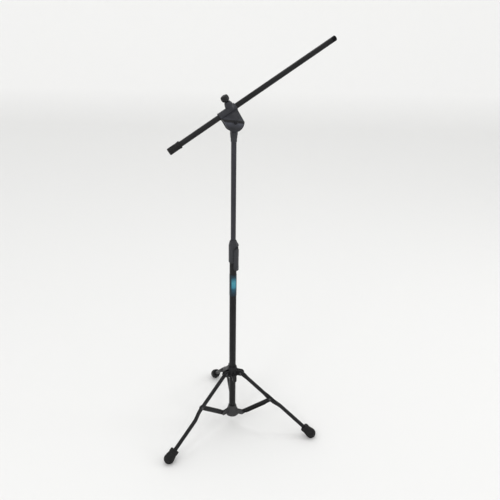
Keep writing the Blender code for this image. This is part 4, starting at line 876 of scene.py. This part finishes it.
def cheek_cover(side):
    """The outer face of a cheek: rings of a relief over share of reach and angle.

    A shallow ledge runs across it, the part under the ledge swells like a cup, and
    low ribs run down beside its edge on the boom's tip side.
    """
    share = np.concatenate([[0.0, 0.0], np.linspace(0.004, 0.968, 120),
                            0.968 + 0.026 * np.sin(np.linspace(0.1, np.pi / 2, 7)), [1.0]])
    turn = around(320)
    reach = cheek_edge(turn, 0.0002)
    rr = 0.0063 + share[:, None] * (reach - 0.0063)
    x, z = rr * np.cos(turn), rr * np.sin(turn)
    along = x * np.cos(FOLD_LEAN) + z * np.sin(FOLD_LEAN)
    below = x * np.sin(FOLD_LEAN) - z * np.cos(FOLD_LEAN) + FOLD_OFF + 0.0016 * np.sin(along * 130)
    ledge = smooth_step(below, 0.0, 0.0009)
    cup = np.sin(np.pi * np.clip(below / 0.034, 0.0, 1.0)) ** 0.8
    rim = smooth_step(share[:, None], 0.62, 1.0) ** 2
    rib_zone = (smooth_step(x, 0.0070, 0.0085) * (1 - smooth_step(share[:, None], 0.90, 0.95))
                * smooth_step(z, -0.0120, -0.0095) * (1 - ledge))
    ribs = np.abs(np.cos(np.pi * (x - 0.0070) / 0.0034)) ** 2
    boss = 1.0 - smooth_step(rr, 0.0082, 0.0094)
    height = (CHEEK_OUT - 0.0006 - ledge * 0.0019 + ledge * cup * 0.0019 - rim * 0.0003
              - ledge * rim * 0.0024 - rib_zone * (1 - ribs) * 0.0007)
    height = height * (1 - boss) + boss * (CHEEK_OUT - 0.0003)
    height = height - 0.0004 * np.exp(-((rr - 0.0100) / 0.0004) ** 2)
    drop = np.linspace(0.1, np.pi / 2, 7)
    height[-8:-1] -= 0.0011 * (1.0 - np.cos(drop))[:, None]
    height[0] = height[-1] = 0.0115
    height = np.minimum(height, CHEEK_OUT)
    return surface(np.stack([x, side * height, z], -1), wrap_rows=True)


def four_lobes(turn, height):
    """Radius factor of the boom knob: four hollows that deepen above its foot."""
    deep = smooth_step(height, NECK_TOP + 0.001, NECK_TOP + 0.006)
    return 1.0 - 0.15 * deep * (0.5 - 0.5 * np.cos(4 * turn)) ** 1.4


def make_swivel_head():
    """Cheeks, bridge, boom sleeve and clamp neck fused, with a relief on each cheek."""
    turn = np.linspace(0.0, TAU, 240, endpoint=False)
    outline = np.stack([np.cos(turn), np.sin(turn)], -1) * cheek_edge(turn)[:, None]
    sleeve = rounded([(SLEEVE_BORE, SLEEVE_TAIL), (0.0117, SLEEVE_TAIL), (0.0117, -0.0268),
                      (0.01120, -0.0256), (0.01120, 0.0221), (0.0117, 0.0233),
                      (0.0117, SLEEVE_TIP), (SLEEVE_BORE, SLEEVE_TIP)], 0.0005, True)
    flip = np.diag([1.0, -1.0, 1.0])
    cheek = plate(outline, CHEEK_IN, 0.0136, 0.0012)
    shells = [cheek, placed(cheek, flip), crown_shell(), neck_shell(),
              placed(turned(sleeve, 128, "X", closed=True), UPRIGHT, (0.0, 0.0, BOOM_UP))]
    head = piece("swivel_head_body", placed(together(*shells), TILTED, PIVOT), SWIVEL_PLASTIC_PAINTED_SHADE,
                 "swivel", ["swivel_head"])
    moulded(head, 0.00062, 3)
    for name, side in (("front", -1), ("rear", 1)):
        piece(f"swivel_cheek_{name}", placed(cheek_cover(side), TILTED, PIVOT), SWIVEL_PLASTIC_PAINTED_SHADE,
              "swivel")
    lobes = rounded([(0.0, 0.0), (0.50, 0.0), (0.56, 0.07), (0.80, 0.14), (1.0, 0.34),
                     (1.0, 0.70), (0.90, 0.91), (0.64, 1.0), (0.34, 1.0), (0.28, 0.95),
                     (0.0, 0.94)], 0.10, steps=7)
    knob = turned(lobes * [0.0118, 0.0190] + [0.0, NECK_TOP + GAP], 200, swell=four_lobes)
    knob = placed(placed(knob, UPRIGHT, (CLAMP_X, 0.0, 0.0)), TILTED, PIVOT)
    piece("boom_clamp_knob", knob, BLACK_PLASTIC, "boom_clamp", ["boom_knob"])


# ---- boom ----
def helix_thread():
    """A rolled thread: radius falls and rises with height less turn, fading at both ends."""
    start, length, pitch = BOOM_TIP + GAP, 0.0140, 0.0254 / 27
    h = np.linspace(0.0, length, 280)[:, None]
    turn = around(72)
    wave = np.abs(np.mod(h / pitch - turn / TAU, 1.0) - 0.5) * 2.0
    tooth = smooth_step(wave, 0.15, 0.85)
    fade = (smooth_step(h, 0.0002, 0.0012)
            * (1.0 - smooth_step(h, length - 0.0014, length - 0.0003)))
    r = 0.0071 + 0.0008 * tooth * fade - 0.0006 * smooth_step(h, length - 0.0008, length)
    points = np.stack([start + h + 0.0 * turn, r * np.cos(turn), r * np.sin(turn)], -1)
    return closed_ends(surface(points), 72)


def make_boom():
    axis = (0.0, 0.0, BOOM_UP)

    def on_boom(shell):
        return placed(placed(shell, UPRIGHT, axis), TILTED, PIVOT)
    piece("boom_pipe", on_boom(tube(BOOM_R - 0.0010, BOOM_R, BOOM_TAIL, BOOM_TIP, 0.0004,
                                    along="X")), COLUMN_PAINT, "boom", ["boom_tube"])
    end, inner = BOOM_TAIL - GAP - 0.0040, BOOM_R + GAP
    front = end + 0.0400
    cap = rounded([(0.0, end + 0.0004), (0.0060, end + 0.0004), (0.0064, end), (0.0092, end),
                   (0.0103, end + 0.0014), (0.0103, front - 0.0140), (0.0099, front - 0.0134),
                   (0.0099, front - 0.0124), (0.0103, front - 0.0118), (0.0103, front - 0.0064),
                   (0.0111, front - 0.0046), (0.0111, front - 0.0010), (0.0100, front),
                   (inner, front), (inner, BOOM_TAIL - GAP), (0.0, BOOM_TAIL - GAP)], 0.0007)
    piece("boom_end_cap", on_boom(turned(cap, 96, "X")), RUBBER, "boom",
          ["boom_tail_cap"])
    plug = turned(rounded([(0.0, BOOM_TIP - 0.0140), (0.00665, BOOM_TIP - 0.0140),
                           (0.00665, BOOM_TIP + 0.0004), (0.0, BOOM_TIP + 0.0004)], 0.0004),
                  64, "X")
    piece("clip_thread", on_boom(together(helix_thread(), plug)), DARK_STEEL, "boom",
          ["boom_thread"])
    ring = rounded([(BOOM_R + GAP, SLEEVE_TAIL), (BOOM_R + GAP + 0.0009, SLEEVE_TAIL),
                    (BOOM_R + GAP + 0.0009, SLEEVE_TIP), (BOOM_R + GAP, SLEEVE_TIP)], 0.0002, True)
    points, faces = sector(ring, -np.pi + 0.125, np.pi - 0.125, 120)
    points = np.stack([points[:, 2], points[:, 1], points[:, 0]], -1)
    piece("sleeve_liner", on_boom((points, faces)), INNER_NYLON, "boom_roll",
          ["boom_liner"])


def dress_kept_nodes():
    """Finishes for the small inner nodes that keep their own meshes."""
    finishes = {"clutch_pin": ZINC, "hub_clamp_screw": ZINC, "boom_clamp_screw": ZINC,
                "tilt_bolt": DARK_STEEL, "tilt_nut": DARK_STEEL, "clutch_pad": NYLON,
                "boom_clamp_pad": INNER_NYLON, "swivel_washer_front": INNER_NYLON,
                "swivel_washer_rear": INNER_NYLON, "upper_tube_guide": NYLON}
    for name, material in finishes.items():
        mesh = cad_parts[name].data
        mesh.materials.clear()
        mesh.materials.append(material)


# ---- floor, light and camera ----
def make_stage():
    """A floor that bends up into a wall 9 m behind, paler with height: a profile carried
    sideways. Seen from the side or from behind, its edges are in view."""
    bend, reach = 3.0, 40.0
    turn = np.linspace(0.0, np.pi / 2, 24)
    away = np.r_[-reach, -3.0, 0.0, 3.0, 6.0 + bend * np.sin(turn), 9.0]
    height = np.r_[0.0, 0.0, 0.0, 0.0, bend - bend * np.cos(turn), 9.0]
    across = np.linspace(-reach, reach, 17)[:, None]
    view = np.array(VIEW_AHEAD[:2])
    view /= np.linalg.norm(view)
    points = np.stack([away * view[0] + across * view[1], away * view[1] - across * view[0],
                       height + 0.0 * across], -1)
    shell = surface(points, wrap_cols=False)
    mesh = bpy.data.meshes.new("floor")
    mesh.from_pydata(shell[0].tolist(), [], shell[1][:, ::-1].tolist())
    mesh.shade_smooth()
    made, tree, shader = new_material("pale_floor", 0.1)
    where = tree.nodes.new("ShaderNodeTexCoord")
    split = tree.nodes.new("ShaderNodeSeparateXYZ")
    tree.links.new(where.outputs["Object"], split.inputs["Vector"])
    tree.links.new(ramp(tree, ranged(tree, split.outputs["Z"], 0.0, bend),
                        [(0.0, (0.805, 0.805, 0.797)), (0.12, (0.90, 0.90, 0.892)),
                         (1.0, (0.97, 0.97, 0.96))]), shader.inputs["Base Color"])
    shader.inputs["Roughness"].default_value = 0.9
    mesh.materials.append(made)
    floor = add_object("floor", mesh)


def aimed(obj, place, target):
    """Put an object at a place and turn its -z towards a target."""
    obj.location = place
    obj.rotation_euler = (Vector(target) - Vector(place)).to_track_quat("-Z", "Y").to_euler()


def make_light():
    world = bpy.data.worlds.new("studio")
    bpy.context.scene.world = world
    world.use_nodes = True
    sky = world.node_tree.nodes["Background"]
    sky.inputs["Color"].default_value = (1.0, 1.0, 1.0, 1.0)
    sky.inputs["Strength"].default_value = 1.0
    for name, place, size, power in (("key", (-2.6, -2.4, 3.2), 1.0, 26.0),
                                     ("side", (3.0, -1.0, 2.2), 0.8, 12.0),
                                     ("top", (0.3, 0.8, 3.6), 1.2, 8.0)):
        lamp = bpy.data.lights.new(name, "AREA")
        lamp.size = size
        lamp.energy = power
        aimed(add_object(name, lamp), place, (0.0, 0.0, 0.7))


def make_camera():
    forward = Vector(VIEW_AHEAD).normalized()
    right = Vector((0.9380, -0.3468, 0.0)).normalized()
    up = right.cross(forward)
    roll = np.radians(1.06)
    x_axis = right * np.cos(roll) + up * np.sin(roll)
    y_axis = up * np.cos(roll) - right * np.sin(roll)
    data = bpy.data.cameras.new("camera")
    data.sensor_width = 36.0
    data.lens = 39.6
    data.dof.use_dof = False
    cam = add_object("camera", data)
    cam.matrix_world = Matrix.Translation((-0.502, -1.509, 1.31)) @ Matrix(
        (x_axis, y_axis, -forward)).transposed().to_4x4()
    bpy.context.scene.camera = cam


make_camera()
make_stage()
make_light()
make_column()
make_spreader_hub()
make_legs()
make_leg_hub()
make_hub_fasteners()
make_wing_knob()
make_clutch_body()
make_lever()
make_swivel_base()
make_swivel_head()
make_boom()
dress_kept_nodes()
bpy.context.scene.view_settings.view_transform = "Standard"

bpy.context.view_layer.update()
